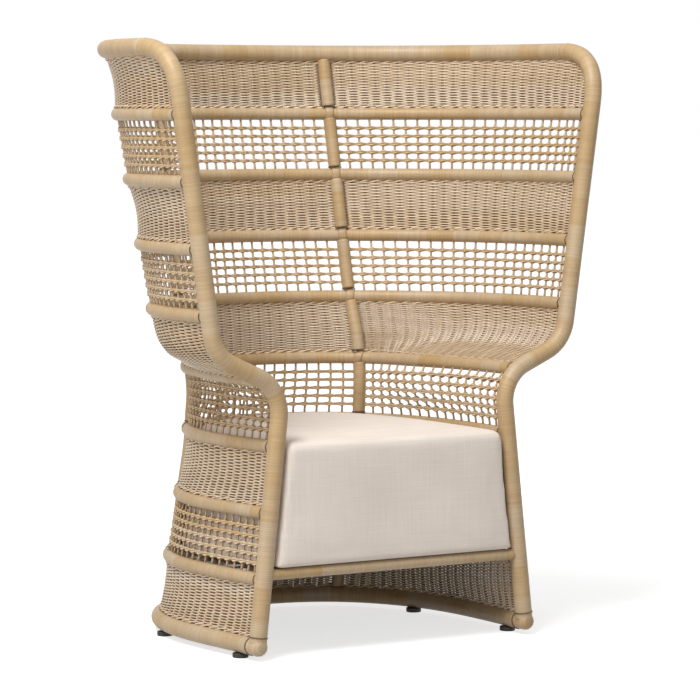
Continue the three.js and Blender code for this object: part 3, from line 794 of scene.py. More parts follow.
def end_shade_ring(shell, sign, height, radius):
    """The ring of painted shade round a tube beside the front edge tube it ends in."""
    along, up = shell.slopes(float(sign), height)
    along = unit(along) * sign
    inward = shell.inward(float(sign), height)
    centre = shell.point(float(sign), height) - along * FRAME_R
    return dark_ring(centre, inward, unit(up), along, radius)


def foot_shade_ring(path):
    """The ring of painted shade round a front edge tube where it stands on the base."""
    foot = int(np.argmax(path[:, 2] > BASE_Z + FRAME_R))
    axis = unit(path[foot + 1] - path[foot])
    first = unit(np.cross(axis, SIDEWAYS))
    return dark_ring(path[foot], first, np.cross(axis, first), axis, FRAME_R)


class CHAIR_OT_hoops(bpy.types.Operator):
    """Wind the hoops between the panels"""

    bl_idname = "chair.hoops"
    bl_label = "Hoops"

    def execute(self, context):
        shell = Shell(context.scene.chair_shell)
        fibre = context.scene.chair_fibre
        for level in range(1, PANEL_COUNT):
            height = level * PANEL_PITCH
            end = float(shell.along_wall(1.0, height, -FRAME_R * BURIED))
            first = (HOOP_NUMBERS + level) * STRANDS_APART
            tube = wound_tube(shell_path(shell, end, -end, height), HOOP_R, UP, fibre, first)
            shade_rings = [end_shade_ring(shell, sign, height, HOOP_R) for sign in (-1, 1)]
            name = f"wrapped_hoop_{level}"
            mesh = bundle_mesh(name, [tube, *shade_rings])
            add_piece(name, mesh, wrapped_fibre(), "fibre_wrap", f"hoop_{level}")
        return {"FINISHED"}


POST_INSET = 0.003
POST_FOOT_GAP = 0.002
POST_HEAD = 0.75
POST_END_ROUND = 0.004
POST_POINTS = 60
SEGMENT_APART = 60
BINDING_HALF_WIDTH = 0.0095
BINDING_DEPTH = 0.0028
BINDING_ARC = math.radians(352.0)


def tube_radius(level):
    """Radius of the tube at a level: the base and the rim are thicker than the hoops."""
    return FRAME_R if level in (0, PANEL_COUNT) else HOOP_R


def post_segment(shell, fibre, sign, level, first):
    """A length of rear post from just above one hoop to a round head under the next."""
    low = level * PANEL_PITCH + tube_radius(level) + POST_FOOT_GAP
    high = (level + 1) * PANEL_PITCH - tube_radius(level + 1) * POST_HEAD
    heights = np.linspace(low, high, POST_POINTS)
    across = sign * shell.post(heights)
    path = shell.point(across, heights) + shell.inward(across, heights) * POST_INSET
    return wound_tube(path, fibre.post_tube, SIDEWAYS, fibre, first, end_round=POST_END_ROUND)


def post_shade_ring(shell, fibre, sign, level):
    """The ring of painted shade round the foot of a length of post, just above the hoop."""
    height = level * PANEL_PITCH + tube_radius(level) + POST_FOOT_GAP
    across = sign * float(shell.post(height))
    inward = shell.inward(across, height)
    along = unit(shell.slopes(across, height)[0])
    centre = shell.point(across, height) + inward * POST_INSET
    return dark_ring(centre, inward, along, UP, fibre.post_tube, POST_SHADE_RING_RADIUS)


def post_binding(shell, fibre, sign, level, first):
    """A narrow winding that ties the post to a hoop: an arc round the hoop in the plane across it."""
    height = level * PANEL_PITCH
    across = sign * float(shell.post(height))
    along, up = shell.slopes(across, height)
    inward = shell.inward(across, height)
    angle = np.linspace(-BINDING_ARC / 2, BINDING_ARC / 2, POST_POINTS)[:, None]
    radius = tube_radius(level) + BINDING_DEPTH / 2
    path = shell.point(across, height) + radius * (inward * np.cos(angle) + unit(up) * np.sin(angle))
    share = BINDING_HALF_WIDTH / BINDING_DEPTH
    return wound_tube(path, BINDING_DEPTH, along, fibre, first, share, end_round=BINDING_DEPTH / 4)


class CHAIR_OT_rear_posts(bpy.types.Operator):
    """Wind the two rear posts and bind them to the hoops"""

    bl_idname = "chair.rear_posts"
    bl_label = "Rear Posts"

    def execute(self, context):
        shell = Shell(context.scene.chair_shell)
        fibre = context.scene.chair_fibre
        for side, sign in (("left", -1), ("right", 1)):
            first = (POST_NUMBERS + sign) * STRANDS_APART
            levels = range(PANEL_COUNT)
            starts = [first + SEGMENT_APART * level for level in levels]
            parts = [post_segment(shell, fibre, sign, level, start) for level, start in enumerate(starts)]
            parts += [post_binding(shell, fibre, sign, level, first + level) for level in levels[1:]]
            parts += [post_shade_ring(shell, fibre, sign, level) for level in levels]
            name = f"wrapped_post_{side}"
            mesh = bundle_mesh(name, parts)
            add_piece(name, mesh, wrapped_fibre(), "fibre_wrap", f"rear_post_{side}")
        return {"FINISHED"}


# Woven panels

BAYS = ("left_wing", "back", "right_wing")
SINK = 0.7
WEFT_STATIONS = 5
WEFT_SIDES = 6
WEFT_FILL = 0.58
WEFT_BEAT = 1.12
STAKE_POINTS = 9
BENT_STAKE_POINTS = 17
FLAT_STAKE_SIDES = 12
ROUND_STAKE_SIDES = 7
TWINE_STATIONS = 6
TWINE_SIDES = 6
BORDER_HALF = 0.0018
BORDER_SLANT = 0.0028
BOW_SIDE = 0.25
ARM_LEVEL = 4
WALL_SAMPLES = 17
BACK_KNOT_POWER = 4.0
WING_KNOT_POWER = 4.5
WING_KNOT_SPREAD = 1.4
LOW_KNOT_POWER = 3.0
LOW_KNOT_SPREAD = 1.9
TWINE_LAP = 0.0003
KNOT_SHADE = 0.7
WAIST_SHADE = 0.35
FLAT_STAKE = 0.0062
FLAT_STAKE_DEPTH = 0.0015
BACK_STAKE_SHADE = 0.72
WING_STAKE_SHADE = 0.62
HOLE_LIGHT = 0.0
HOLE_START = 0.35
HOLE_SOFTNESS = 0.35
DOT_LOW = 0.25
DOT_HIGH = 0.5
MIDDLE_SHADE = 0.22
MIDDLE_START = 0.3
MIDDLE_STOP = 0.8
TOOTH_REACH = 0.0055
BEAD_LIGHT = 1.0
BEAD_START = 0.62
BEAD_STOP = 0.98
BORDER_DARK = -0.5
BORDER_LIT = 0.1
STAKE_OVERRUN = 0.4

# Where a panel's stakes, bands and borders start their counts
STAKE_NUMBERS = 500.5
BAND_NUMBERS = 700.5
BORDER_NUMBERS = 800.5


class Panel:
    """One woven panel: a bay of the shell between two hoops. Share runs across the bay, from the left
    post in the back and from the post to the front edge in the wings, and rise runs up from the lower
    hoop to the upper one. Turns count the stakes, which fan from the post to the front edge."""

    def __init__(self, shell, fibre, level, bay):
        self.shell = shell
        self.fibre = fibre
        self.bay = bay
        self.sign = -1.0 if bay == "left_wing" else 1.0
        self.level = level
        self.low = level * PANEL_PITCH
        self.high = self.low + PANEL_PITCH
        self.low_radius = tube_radius(level)
        self.high_radius = tube_radius(level + 1)
        self.first = (PANEL_NUMBERS + len(BAYS) * level + BAYS.index(bay)) * STRANDS_APART
        middle = np.array((self.low + self.high) / 2)
        run = shell.point(np.linspace(*self.ends(middle), PATH_POINTS), middle)
        steps = np.linalg.norm(np.diff(run, axis=0), axis=1)
        self.length = float(steps.sum())
        self.stakes = max(int(round(self.length / fibre.stake_pitch)), 2)

    def ends(self, height):
        """Places where the bay starts and stops at heights, sunk a little into the tubes."""
        shell = self.shell
        post = shell.post(height)
        sunk = self.fibre.post_tube * SINK
        if self.bay == "back":
            inner = shell.along_wall(post, height, -sunk)
            return -inner, inner
        front = shell.along_wall(np.ones_like(height), height, -FRAME_R * SINK)
        return self.sign * shell.along_wall(post, height, sunk), self.sign * front

    def wall(self, across):
        """Heights of the panel's two edges at places across, and the lengths up the wall between them."""
        bottom = self.shell.up_wall(across, np.full_like(across, self.low), self.low_radius)
        top = self.shell.up_wall(across, np.full_like(across, self.high), -self.high_radius)
        tall = mix(bottom[..., None], top[..., None], np.linspace(0.0, 1.0, WALL_SAMPLES))
        steps = np.linalg.norm(np.diff(self.shell.point(across[..., None], tall), axis=-2), axis=-1)
        lengths = np.concatenate([np.zeros((*across.shape, 1)), np.cumsum(steps, axis=-1)], axis=-1)
        return bottom, top, lengths

    def heights(self, across, rise):
        """Heights at even steps up the wall, which bends most at the arms."""
        bottom, top, lengths = self.wall(across)
        target = (rise * lengths[..., -1])[..., None]
        above = np.clip((lengths < target).sum(axis=-1, keepdims=True), 1, WALL_SAMPLES - 1)
        before = np.take_along_axis(lengths, above - 1, axis=-1)
        after = np.take_along_axis(lengths, above, axis=-1)
        share = (above - 1 + (target - before) / (after - before)) / (WALL_SAMPLES - 1)
        return mix(bottom, top, share[..., 0])

    def place(self, share, rise):
        """Across and height of a place on the panel."""
        share, rise = np.broadcast_arrays(share, rise)
        about = mix(*self.ends(mix(self.low, self.high, rise)), share)
        height = self.heights(about, rise)
        return mix(*self.ends(height), share), height

    def reach(self, rise):
        """Share of the bay that a row fills: less where the rounded top corner cuts it off."""
        if self.bay == "back":
            return np.ones_like(rise)
        below = RIM_HEIGHT - mix(self.low + self.low_radius, self.high - self.high_radius, rise)
        return 1.0 - self.shell.corner_reach(below) / self.length

    def row(self, rise, stations):
        """Places along a row, and its turns there."""
        share = np.linspace(0.0, 1.0, stations * self.stakes + 1)[None] * self.reach(rise)
        across, height = self.place(share, rise)
        return share, across, height, share * self.stakes

    def path(self, across, height, off, lift=0.0):
        """Points off the wall into the seat and up it, with the wall's normals."""
        inward = self.shell.inward(across, height)
        points = self.shell.point(across, height) + inward * np.broadcast_to(off, across.shape)[..., None]
        points[..., 2] += lift
        return points, inward

    def bow(self, share, rise, depth):
        """A panel's bow into the seat: depth sin(pi rise), less towards the posts and the front edges."""
        sides = smoothstep(share, 0.0, BOW_SIDE) * smoothstep(1.0 - share, 0.0, BOW_SIDE)
        return depth * np.sin(math.pi * np.clip(rise, 0.0, 1.0)) * sides

    def stake_strands(self, half_width, half_depth, sides, shade, bow=0.0):
        """Stakes from hoop to hoop, cut short under the rounded top corner. Shade gives the light on a
        stake from the rise and from how far each side faces the seat."""
        share = np.arange(1, self.stakes)[:, None] / self.stakes
        top = np.ones_like(share)
        if self.high >= RIM_HEIGHT - STEP and self.bay != "back":
            gap = np.clip((1.0 - share) * self.length, 0.0, self.shell.sizes.rim_corner)
            top = 1.0 - np.maximum(self.shell.corner_reach(gap) - self.high_radius, 0.0) / PANEL_PITCH
        overrun = self.low_radius * STAKE_OVERRUN / PANEL_PITCH
        points = BENT_STAKE_POINTS if self.level == ARM_LEVEL else STAKE_POINTS
        rise = mix(-overrun, top + overrun, np.linspace(0.0, 1.0, points)[None])
        across, height = self.place(share, rise)
        places, inward = self.path(across, height, self.bow(share, rise, bow))
        strand = self.first + STAKE_NUMBERS + np.arange(self.stakes - 1)[:, None, None]
        painted_light = shade(rise[..., None], facing_seat(sides))
        return bundle(swept(places, inward, half_width, half_depth, sides), strand, painted_light)

    def twined_band(self, rise, number):
        """Two twined pairs, one above the other. A pair's strands lie before and behind the nth stake by
        turns, cos(pi n) into the seat, and slant past it by sin(pi n). At the stakes they swell and part
        by a power of cos(pi n), more in the wings and most below the arms."""
        fibre = self.fibre
        _, across, height, turns = self.row(np.array([[rise]]), TWINE_STATIONS)
        across = np.repeat(across, 4, axis=0)
        height = np.repeat(height, 4, axis=0)
        wave = np.cos(math.pi * turns)
        power, wider = BACK_KNOT_POWER, 1.0
        if self.bay != "back":
            power, wider = WING_KNOT_POWER, WING_KNOT_SPREAD
            if self.level < ARM_LEVEL:
                power, wider = LOW_KNOT_POWER, LOW_KNOT_SPREAD
        knot = np.abs(wave) ** power
        spread = fibre.twine_spread * wider
        side = np.array([[1.0], [-1.0], [1.0], [-1.0]])
        level = np.array([[1.0], [1.0], [-1.0], [-1.0]])
        slant = fibre.twine_slant * np.sin(math.pi * turns) * self.sign
        lift = level * (fibre.twine_waist + spread * knot) + side * slant
        swing = fibre.stake_radius + fibre.twine_thickness / 2
        points, inward = self.path(across, height, side * swing * wave, lift)
        half = np.broadcast_to(fibre.twine_waist + TWINE_LAP + spread * knot, across.shape)
        edge = np.abs(np.cos(np.arange(TWINE_SIDES) * (2 * math.pi / TWINE_SIDES)))
        # Painted shade: the strands darken at their edges at the knots and all over between the stakes
        painted_light = 1.0 - KNOT_SHADE * edge**2 * knot[..., None] - WAIST_SHADE * (1.0 - knot[..., None])
        strand = self.first + BAND_NUMBERS + 4 * number + np.arange(4)[:, None, None]
        return bundle(swept(points, inward, half, fibre.twine_thickness / 2, TWINE_SIDES), strand, painted_light)

    def border(self, rise, number):
        """A twined pair beside a hoop: slanted strands, sin(pi n) up the wall and cos(pi n) into the
        seat, that are darkened by painted shade where they pass behind."""
        fibre = self.fibre
        _, across, height, turns = self.row(np.array([[rise]]), TWINE_STATIONS)
        across = np.repeat(across, 2, axis=0)
        height = np.repeat(height, 2, axis=0)
        side = np.array([[1.0], [-1.0]])
        swing = fibre.stake_radius + BORDER_HALF
        wave = side * np.cos(math.pi * turns)
        lift = side * BORDER_SLANT * np.sin(math.pi * turns) * self.sign
        points, inward = self.path(across, height, swing * wave, lift)
        painted_light = smoothstep(facing_seat(TWINE_SIDES) * wave[..., None], BORDER_DARK, BORDER_LIT)
        strand = self.first + BORDER_NUMBERS + 2 * number + np.arange(2)[:, None, None]
        return bundle(swept(points, inward, BORDER_HALF, BORDER_HALF, TWINE_SIDES), strand, painted_light)

    def dotted(self, rise, facing):
        """1 on the seat side of a panel's upper part, where the weave's painted shade shows dots, and 0
        where it shows dashes. The panel over the arms is dotted all over."""
        upper = 1.0 if self.level == ARM_LEVEL else smoothstep(rise, DOT_LOW, DOT_HIGH)
        return np.where(facing > 0.0, upper, 0.0)

    def dense_stake_shade(self, rise, facing):
        """A flat stake is painted in shade, but where the weave shows dots only its middle is."""
        middle = smoothstep(np.abs(facing), BEAD_START, BEAD_STOP)
        return mix(HOLE_LIGHT, BEAD_LIGHT, self.dotted(rise, facing) * (1.0 - middle))

    def net_stake_shade(self, rise, facing):
        """A bare stake is evenly painted in shade, darker in the wings."""
        shade = BACK_STAKE_SHADE if self.bay == "back" else WING_STAKE_SHADE
        return np.full(np.broadcast_shapes(rise.shape, facing.shape), shade)


def dense_weave(panel):
    """Plain weave: the rth row passes before and behind the stakes by turns, so its offset at the nth
    stake is (-1)^r cos(pi n). Painted shade darkens a row where it passes behind in a dash, and a little
    between the stakes. Painted shade also darkens every second row beside a post, like teeth."""
    fibre = panel.fibre
    ends = panel.ends(np.array(panel.low + PANEL_PITCH / 2))
    tall = panel.wall(np.linspace(*ends, WALL_SAMPLES))[2].max()
    rows = int(round(tall / fibre.weft_pitch))
    rise = (((np.arange(rows) + 0.5) / rows) ** WEFT_BEAT)[:, None]
    share, across, height, turns = panel.row(rise, WEFT_STATIONS)
    swing = FLAT_STAKE_DEPTH + fibre.weft_thickness / 2
    sign = np.where(np.arange(rows) % 2, -1.0, 1.0)[:, None]
    wave = sign * np.cos(math.pi * turns)
    bow = 0.0 if panel.level == ARM_LEVEL else fibre.weave_bow
    points, inward = panel.path(across, height, swing * wave + panel.bow(share, rise, bow))
    spacing = np.linalg.norm(np.gradient(panel.shell.point(across, height), axis=0), axis=-1)
    facing = facing_seat(WEFT_SIDES)
    behind = -np.sign(facing) * wave[..., None]
    dots = panel.dotted(rise[..., None], facing)
    dash = smoothstep(behind, HOLE_START, HOLE_START + HOLE_SOFTNESS) * (1.0 - dots)
    between = MIDDLE_SHADE * dots * (1.0 - smoothstep(np.abs(wave[..., None]), MIDDLE_START, MIDDLE_STOP))
    beside = share * panel.length
    if panel.bay == "back":
        beside = np.minimum(beside, (1.0 - share) * panel.length)
    teeth = np.where(sign > 0.0, 1.0 - smoothstep(beside, TOOTH_REACH, 2 * TOOTH_REACH), 0.0)
    dash = np.maximum(dash, teeth[..., None])
    strand = panel.first + STRAND_MIDDLE + np.arange(rows)[:, None, None]
    sections = swept(points, inward, spacing * WEFT_FILL, fibre.weft_thickness / 2, WEFT_SIDES)
    wefts = bundle(sections, strand, mix(1.0 - between, HOLE_LIGHT, dash))
    edge = BORDER_HALF / (PANEL_PITCH - panel.low_radius - panel.high_radius)
    borders = [panel.border(edge, 0), panel.border(1.0 - edge, 1)]
    shade = panel.dense_stake_shade
    stakes = panel.stake_strands(FLAT_STAKE, FLAT_STAKE_DEPTH, FLAT_STAKE_SIDES, shade, bow)
    return [wefts, stakes, *borders]


def open_net(panel):
    """Twined bands at even heights on bare stakes."""
    fibre = panel.fibre
    bands = [panel.twined_band((k + 1) / (fibre.net_bands + 1), k) for k in range(fibre.net_bands)]
    radius = fibre.stake_radius
    stakes = panel.stake_strands(radius, radius, ROUND_STAKE_SIDES, panel.net_stake_shade)
    return [stakes, *bands]


def make_panels(context, open_panels):
    """Weaves every second level: dense ones from the lowest up, or open ones from the next."""
    shell = Shell(context.scene.chair_shell)
    kind = "net" if open_panels else "weave"
    for level in range(1 if open_panels else 0, PANEL_COUNT, 2):
        for bay in BAYS:
            panel = Panel(shell, context.scene.chair_fibre, level, bay)
            node = f"{kind}_{level + 1}_{bay}"
            name = f"fibre_{node}"
            parts = open_net(panel) if open_panels else dense_weave(panel)
            fibre = twined_fibre() if open_panels else woven_fibre()
            add_piece(name, bundle_mesh(name, parts), fibre, "fibre_weave", node)


class CHAIR_OT_dense_weave(bpy.types.Operator):
    """Weave the dense panels"""

    bl_idname = "chair.dense_weave"
    bl_label = "Dense Weave"

    def execute(self, context):
        make_panels(context, False)
        return {"FINISHED"}


class CHAIR_OT_open_nets(bpy.types.Operator):
    """Twine the open panels"""

    bl_idname = "chair.open_nets"
    bl_label = "Open Nets"

    def execute(self, context):
        make_panels(context, True)
        return {"FINISHED"}


# Seat frame

BAR_SIDES = 24
STRAP_WIDTH = 0.046
STRAP_GAP = 0.008
STRAP_THICKNESS = 0.003
STRAP_SWING = 0.55
STRAP_SIDES = 12
STRAP_STATIONS = 6


def straight_bar(low, high, radius):
    """A round bar along X between two box corners."""
    y = (low.y + high.y) / 2
    z = (low.z + high.z) / 2
    path = np.array([[[low.x, y, z], [high.x, y, z]]])
    return bundle(swept(path, UP, radius, radius, BAR_SIDES), STRAND_MIDDLE)


def strap_bundle(path, number):
    """Flat straps along paths: a flat ellipse stands for each strap."""
    return bundle(swept(path, UP, STRAP_WIDTH / 2, STRAP_THICKNESS / 2, STRAP_SIDES), number)


def seat_webbing(shell):
    """Straps both ways under the cushion. Where the mth strap crosses the nth, they swap sides: the
    height is (-1)^m cos(pi n)."""
    pitch = STRAP_WIDTH + STRAP_GAP
    level = (DECK_LOW.z + DECK_HIGH.z) / 2
    height = np.array(level - BASE_Z)
    swing = STRAP_THICKNESS * STRAP_SWING
    depth = DECK_HIGH.y - DECK_LOW.y
    rows = int(depth // pitch)
    y = DECK_LOW.y + (np.arange(rows) + 0.5) * depth / rows
    places = shell.at_depth(y - FRONT_Y, np.broadcast_to(height, y.shape))
    half = shell.point(places, np.broadcast_to(height, y.shape))[:, 0] - HOOP_R
    columns = int((DECK_HIGH.x - DECK_LOW.x) // pitch)
    t = np.linspace(-1.0, 1.0, STRAP_STATIONS * columns + 1)
    x = half[:, None] * t
    wave = np.cos(math.pi * (x / pitch)) * np.where(np.arange(rows) % 2, -1.0, 1.0)[:, None]
    across = np.stack([x, np.broadcast_to(y[:, None], x.shape), level + swing * wave], axis=-1)
    x = (np.arange(columns) - (columns - 1) / 2) * pitch
    reach = strap_ends(shell, x, height)
    s = np.linspace(0.0, 1.0, STRAP_STATIONS * rows + 1)
    y_run = mix(DECK_LOW.y, reach[:, None], s)
    turn = (y_run - DECK_LOW.y) / depth * rows - 0.5
    wave = -np.cos(math.pi * turn) * np.where(np.arange(columns) % 2, -1.0, 1.0)[:, None]
    deep = np.stack([np.broadcast_to(x[:, None], y_run.shape), y_run, level + swing * wave], axis=-1)
    return [strap_bundle(across, STRAND_MIDDLE), strap_bundle(deep, 1 + STRAND_MIDDLE)]


def strap_ends(shell, x, height):
    """How far back the wall lies at widths x."""
    across = np.linspace(0.0, 1.0, PATH_POINTS)
    wall = shell.point(across, height)
    return np.interp(np.abs(x), wall[:, 0], wall[:, 1]) - HOOP_R


class CHAIR_OT_seat_frame(bpy.types.Operator):
    """Make the front rail, the bars and the webbing under the cushion"""

    bl_idname = "chair.seat_frame"
    bl_label = "Seat Frame"

    def execute(self, context):
        colours = context.scene.chair_colours
        y = (RAIL_LOW.y + RAIL_HIGH.y) / 2
        z = (RAIL_LOW.z + RAIL_HIGH.z) / 2
        points = np.array([[RAIL_LOW.x - HOOP_R / 2, y, z], [RAIL_HIGH.x + HOOP_R / 2, y, z]])
        rail = wound_tube(points, RAIL_R, UP, context.scene.chair_fibre, RAIL_NUMBERS * STRANDS_APART)
        mesh = bundle_mesh("wrapped_seat_rail", [rail])
        add_piece("wrapped_seat_rail", mesh, wrapped_fibre(), "fibre_wrap", "seat_front_rail")
        metal = plain_material("Bar Metal", colours.bar, scale=140.0, gloss=0.25, metallic=1.0)
        for number in (1, 2, 3):
            node = f"seat_bar_{number}"
            name = f"round_{node}"
            mesh = bundle_mesh(name, [straight_bar(*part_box(node), BAR_R)])
            add_piece(name, mesh, metal, "bar_metal", node)
        webbing = plain_material("Seat Webbing", colours.webbing, scale=420.0, gloss=0.6)
        mesh = bundle_mesh("seat_webbing", seat_webbing(Shell(context.scene.chair_shell)))
        add_piece("seat_webbing", mesh, webbing, "deck_board", "seat_deck")
        return {"FINISHED"}


# Cushion

OUTLINE_POINTS = 72
CORNER_POINTS = 8
ROUND_RINGS = 6
SIDE_RINGS = 7
TOP_SHARES = (0.9, 0.75, 0.55, 0.35, 0.15)
BOTTOM_SHARES = (0.2, 0.5, 0.8)


def cushion_outline(shell, height, inset, front, corner):
    """A closed outline inside the shell: round the wall, then across the front with rounded corners."""
    height = np.array(height)
    start = float(shell.at_depth(np.array(front + corner), height))
    across = np.linspace(start, -start, OUTLINE_POINTS)
    normal = shell.inward(across, np.broadcast_to(height, across.shape)) * np.array([1.0, 1.0, 0.0])
    wall = (shell.point(across, height) + unit(normal) * inset)[:, :2]
    angle = np.linspace(0.0, math.pi / 2, CORNER_POINTS)[1:]
    left = wall[-1] + corner * np.stack([1.0 - np.cos(angle), -np.sin(angle)], axis=1)
    return np.concatenate([wall, left, (left * MIRROR[:2])[::-1]])


def cushion_sections(shell, sizes, shrink):
    """Rings of the outline from the middle of the bottom to the middle of the top: rounded at both edges,
    drawn in at half height and crowned by 1 - share^2."""
    low = COVER_LOW.z - BASE_Z
    high = COVER_HIGH.z - BASE_Z - sizes.crown - shrink
    rings = []

    def ring(height, inset):
        gap = sizes.wall_gap + shrink + inset
        outline = cushion_outline(shell, height, gap, shrink + inset - sizes.front, sizes.corner)
        return np.column_stack([outline, np.full(len(outline), BASE_Z + height)])

    turn = np.linspace(0.0, math.pi / 2, ROUND_RINGS)
    for a in turn:
        lift = sizes.bottom_round * (1 - math.cos(a))
        rings.append(ring(low + lift, sizes.bottom_round * (1 - math.sin(a))))
    for share in np.linspace(0.0, 1.0, SIDE_RINGS + 2)[1:-1]:
        height = mix(low + sizes.bottom_round, high - sizes.top_round, share)
        rings.append(ring(height, sizes.draw_in * math.sin(math.pi * share)))
    for a in turn:
        rings.append(ring(high - sizes.top_round * (1 - math.sin(a)), sizes.top_round * (1 - math.cos(a))))
    middle = rings[-1].mean(axis=0)
    under = rings[0].mean(axis=0)
    top = [mix(middle, rings[-1], share) + UP * sizes.crown * (1 - share**2) for share in TOP_SHARES]
    bottom = [mix(under, rings[0], share) for share in BOTTOM_SHARES]
    return np.array([[*bottom, *rings, *top]])


CLOTH_FRAMES = 20
CLOTH_PRESSURE = 0.2
CLOTH_STIFFNESS = 80.0
CLOTH_BENDING = 20.0
LEAST_MOVE = 1e-9


def stuffed(piece, sizes):
    """Remeshes the cover evenly and lets stiff cloth under pressure swell it. A move m is eased to
    s tanh(m / s), so that none is longer than the swell s."""
    remesh = piece.modifiers.new("Even", "REMESH")
    remesh.mode = "VOXEL"
    remesh.voxel_size = sizes.voxel
    context = bpy.context
    context.view_layer.objects.active = piece
    bpy.ops.object.modifier_apply(modifier="Even")
    count = len(piece.data.vertices)
    before = np.empty(count * 3, np.float32)
    piece.data.vertices.foreach_get("co", before)
    cloth = piece.modifiers.new("Filling", "CLOTH")
    cloth.settings.use_pressure = True
    cloth.settings.uniform_pressure_force = CLOTH_PRESSURE
    cloth.settings.tension_stiffness = CLOTH_STIFFNESS
    cloth.settings.compression_stiffness = CLOTH_STIFFNESS
    cloth.settings.shear_stiffness = CLOTH_STIFFNESS
    cloth.settings.bending_stiffness = CLOTH_BENDING
    cloth.settings.effector_weights.gravity = 0.0
    scene = context.scene
    for number in range(1, CLOTH_FRAMES + 1):
        scene.frame_set(number)
    shaped = piece.evaluated_get(context.evaluated_depsgraph_get())
    after = np.empty(count * 3, np.float32)
    shaped.data.vertices.foreach_get("co", after)
    piece.modifiers.remove(cloth)
    scene.frame_set(1)
    move = (after - before).reshape(-1, 3)
    length = np.maximum(np.linalg.norm(move, axis=1, keepdims=True), LEAST_MOVE) / sizes.swell
    move *= np.tanh(length) / length
    points = before.reshape(-1, 3) + move
    points[:, 2] = np.maximum(points[:, 2], COVER_LOW.z)
    piece.data.vertices.foreach_set("co", points.ravel())
    piece.data.update()
    piece.data.shade_smooth()


ZIP_TEETH_PITCH = 0.0026
ZIP_TAPE_DEPTH = 0.0008
TOOTH_RADIUS = 0.0008
TOOTH_LIFT = 0.35
ZIP_POINTS = 41
ZIP_REACH = 0.25


def zip_bundles(shell, sizes):
    """A tape along the back of the cover, and a row of teeth across its middle."""
    z = (ZIP_LOW.z + ZIP_HIGH.z) / 2
    across = np.linspace(-ZIP_REACH, ZIP_REACH, PATH_POINTS)
    height = np.array(z - BASE_Z)
    inward = shell.inward(across, np.broadcast_to(height, across.shape))
    wall = shell.point(across, height) + inward * sizes.wall_gap
    x = np.linspace(ZIP_LOW.x, ZIP_HIGH.x, ZIP_POINTS)
    y = np.interp(x, wall[:, 0], wall[:, 1])
    tape = np.stack([x, y, np.full_like(x, z)], axis=1)[None]
    half = (ZIP_HIGH.z - ZIP_LOW.z) / 2
    band = bundle(swept(tape, FORWARD, half, ZIP_TAPE_DEPTH, STRAP_SIDES), STRAND_MIDDLE)
    count = int((ZIP_HIGH.x - ZIP_LOW.x) / ZIP_TEETH_PITCH)
    x = np.linspace(ZIP_LOW.x, ZIP_HIGH.x, count + 2)[1:-1]
    y = np.interp(x, wall[:, 0], wall[:, 1]) + ZIP_TAPE_DEPTH
    lift = half * TOOTH_LIFT * np.array([-1.0, 1.0])
    teeth = np.stack(np.broadcast_arrays(x[:, None], y[:, None], z + lift[None]), axis=-1)
    rows = swept(teeth, SIDEWAYS, TOOTH_RADIUS, TOOTH_RADIUS, THIN_SIDES)
    return [band, bundle(rows, 1 + STRAND_MIDDLE)]


class CHAIR_OT_cushion(bpy.types.Operator):
    """Stuff the linen seat cushion and close its zip"""

    bl_idname = "chair.cushion"
    bl_label = "Cushion"

    def execute(self, context):
        shell = Shell(context.scene.chair_shell)
        sizes = context.scene.chair_cushion
        linen = linen_material()
        sections = cushion_sections(shell, sizes, sizes.swell)
        mesh = bundle_mesh("linen_cushion", [bundle(sections, STRAND_MIDDLE)])
        piece = add_piece("linen_cushion", mesh, linen, "cushion_linen", "cushion_cover", "cushion_foam")
        stuffed(piece, sizes)
        smooth = piece.modifiers.new("Smooth", "SUBSURF")
        smooth.levels = 1
        smooth.render_levels = 1
        teeth = bundle_mesh("cushion_zip_closed", zip_bundles(shell, sizes))
        add_piece("cushion_zip_closed", teeth, linen, "cushion_linen", "cushion_zip")
        return {"FINISHED"}


# Glides

GLIDE_EDGE = 0.002
GLIDE_SIDES = 32
GLIDE_RINGS = 6
GLIDE_HOLLOW = 0.4
GLIDE_COLLAR = 0.3
GLIDE_STEM = 0.24


def turned_glide(low, high):
    """A disc with rounded edges and a stem up into the base tube."""
    centre = np.array([(low.x + high.x) / 2, (low.y + high.y) / 2, 0.0])
    radius = (high.x - low.x) / 2
    seat = BASE_LOW.z
    turn = np.linspace(0.0, math.pi / 2, GLIDE_RINGS)
    rising = GLIDE_EDGE * (1 - np.cos(turn))
    closing = GLIDE_EDGE * (1 - np.sin(turn))
    radii = [radius * GLIDE_HOLLOW, *(radius - closing), *(radius - rising)]
    heights = [0.0, *rising, *(seat - closing)]
    radii += [radius * GLIDE_COLLAR, radius * GLIDE_STEM, radius * GLIDE_STEM]
    heights += [seat, seat + GLIDE_EDGE, high.z]
    angle = np.arange(GLIDE_SIDES) * (2 * math.pi / GLIDE_SIDES)
    ring = np.stack([np.cos(angle), np.sin(angle), np.zeros_like(angle)], axis=1)
    sections = centre + np.array(radii)[:, None, None] * ring + np.array(heights)[:, None, None] * UP
    return bundle(sections[None], STRAND_MIDDLE)


class CHAIR_OT_glides(bpy.types.Operator):
    """Turn the floor glides"""

    bl_idname = "chair.glides"
    bl_label = "Glides"

    def execute(self, context):
        material = plain_material("Black Glide", context.scene.chair_colours.glide, scale=300.0, gloss=0.45)
        for place in ("front_left", "front_right", "middle_left", "middle_right", "back"):
            node = f"glide_{place}"
            name = f"turned_{node}"
            mesh = bundle_mesh(name, [turned_glide(*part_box(node))])
            add_piece(name, mesh, material, "glide_rubber", node)
        return {"FINISHED"}


# Stage

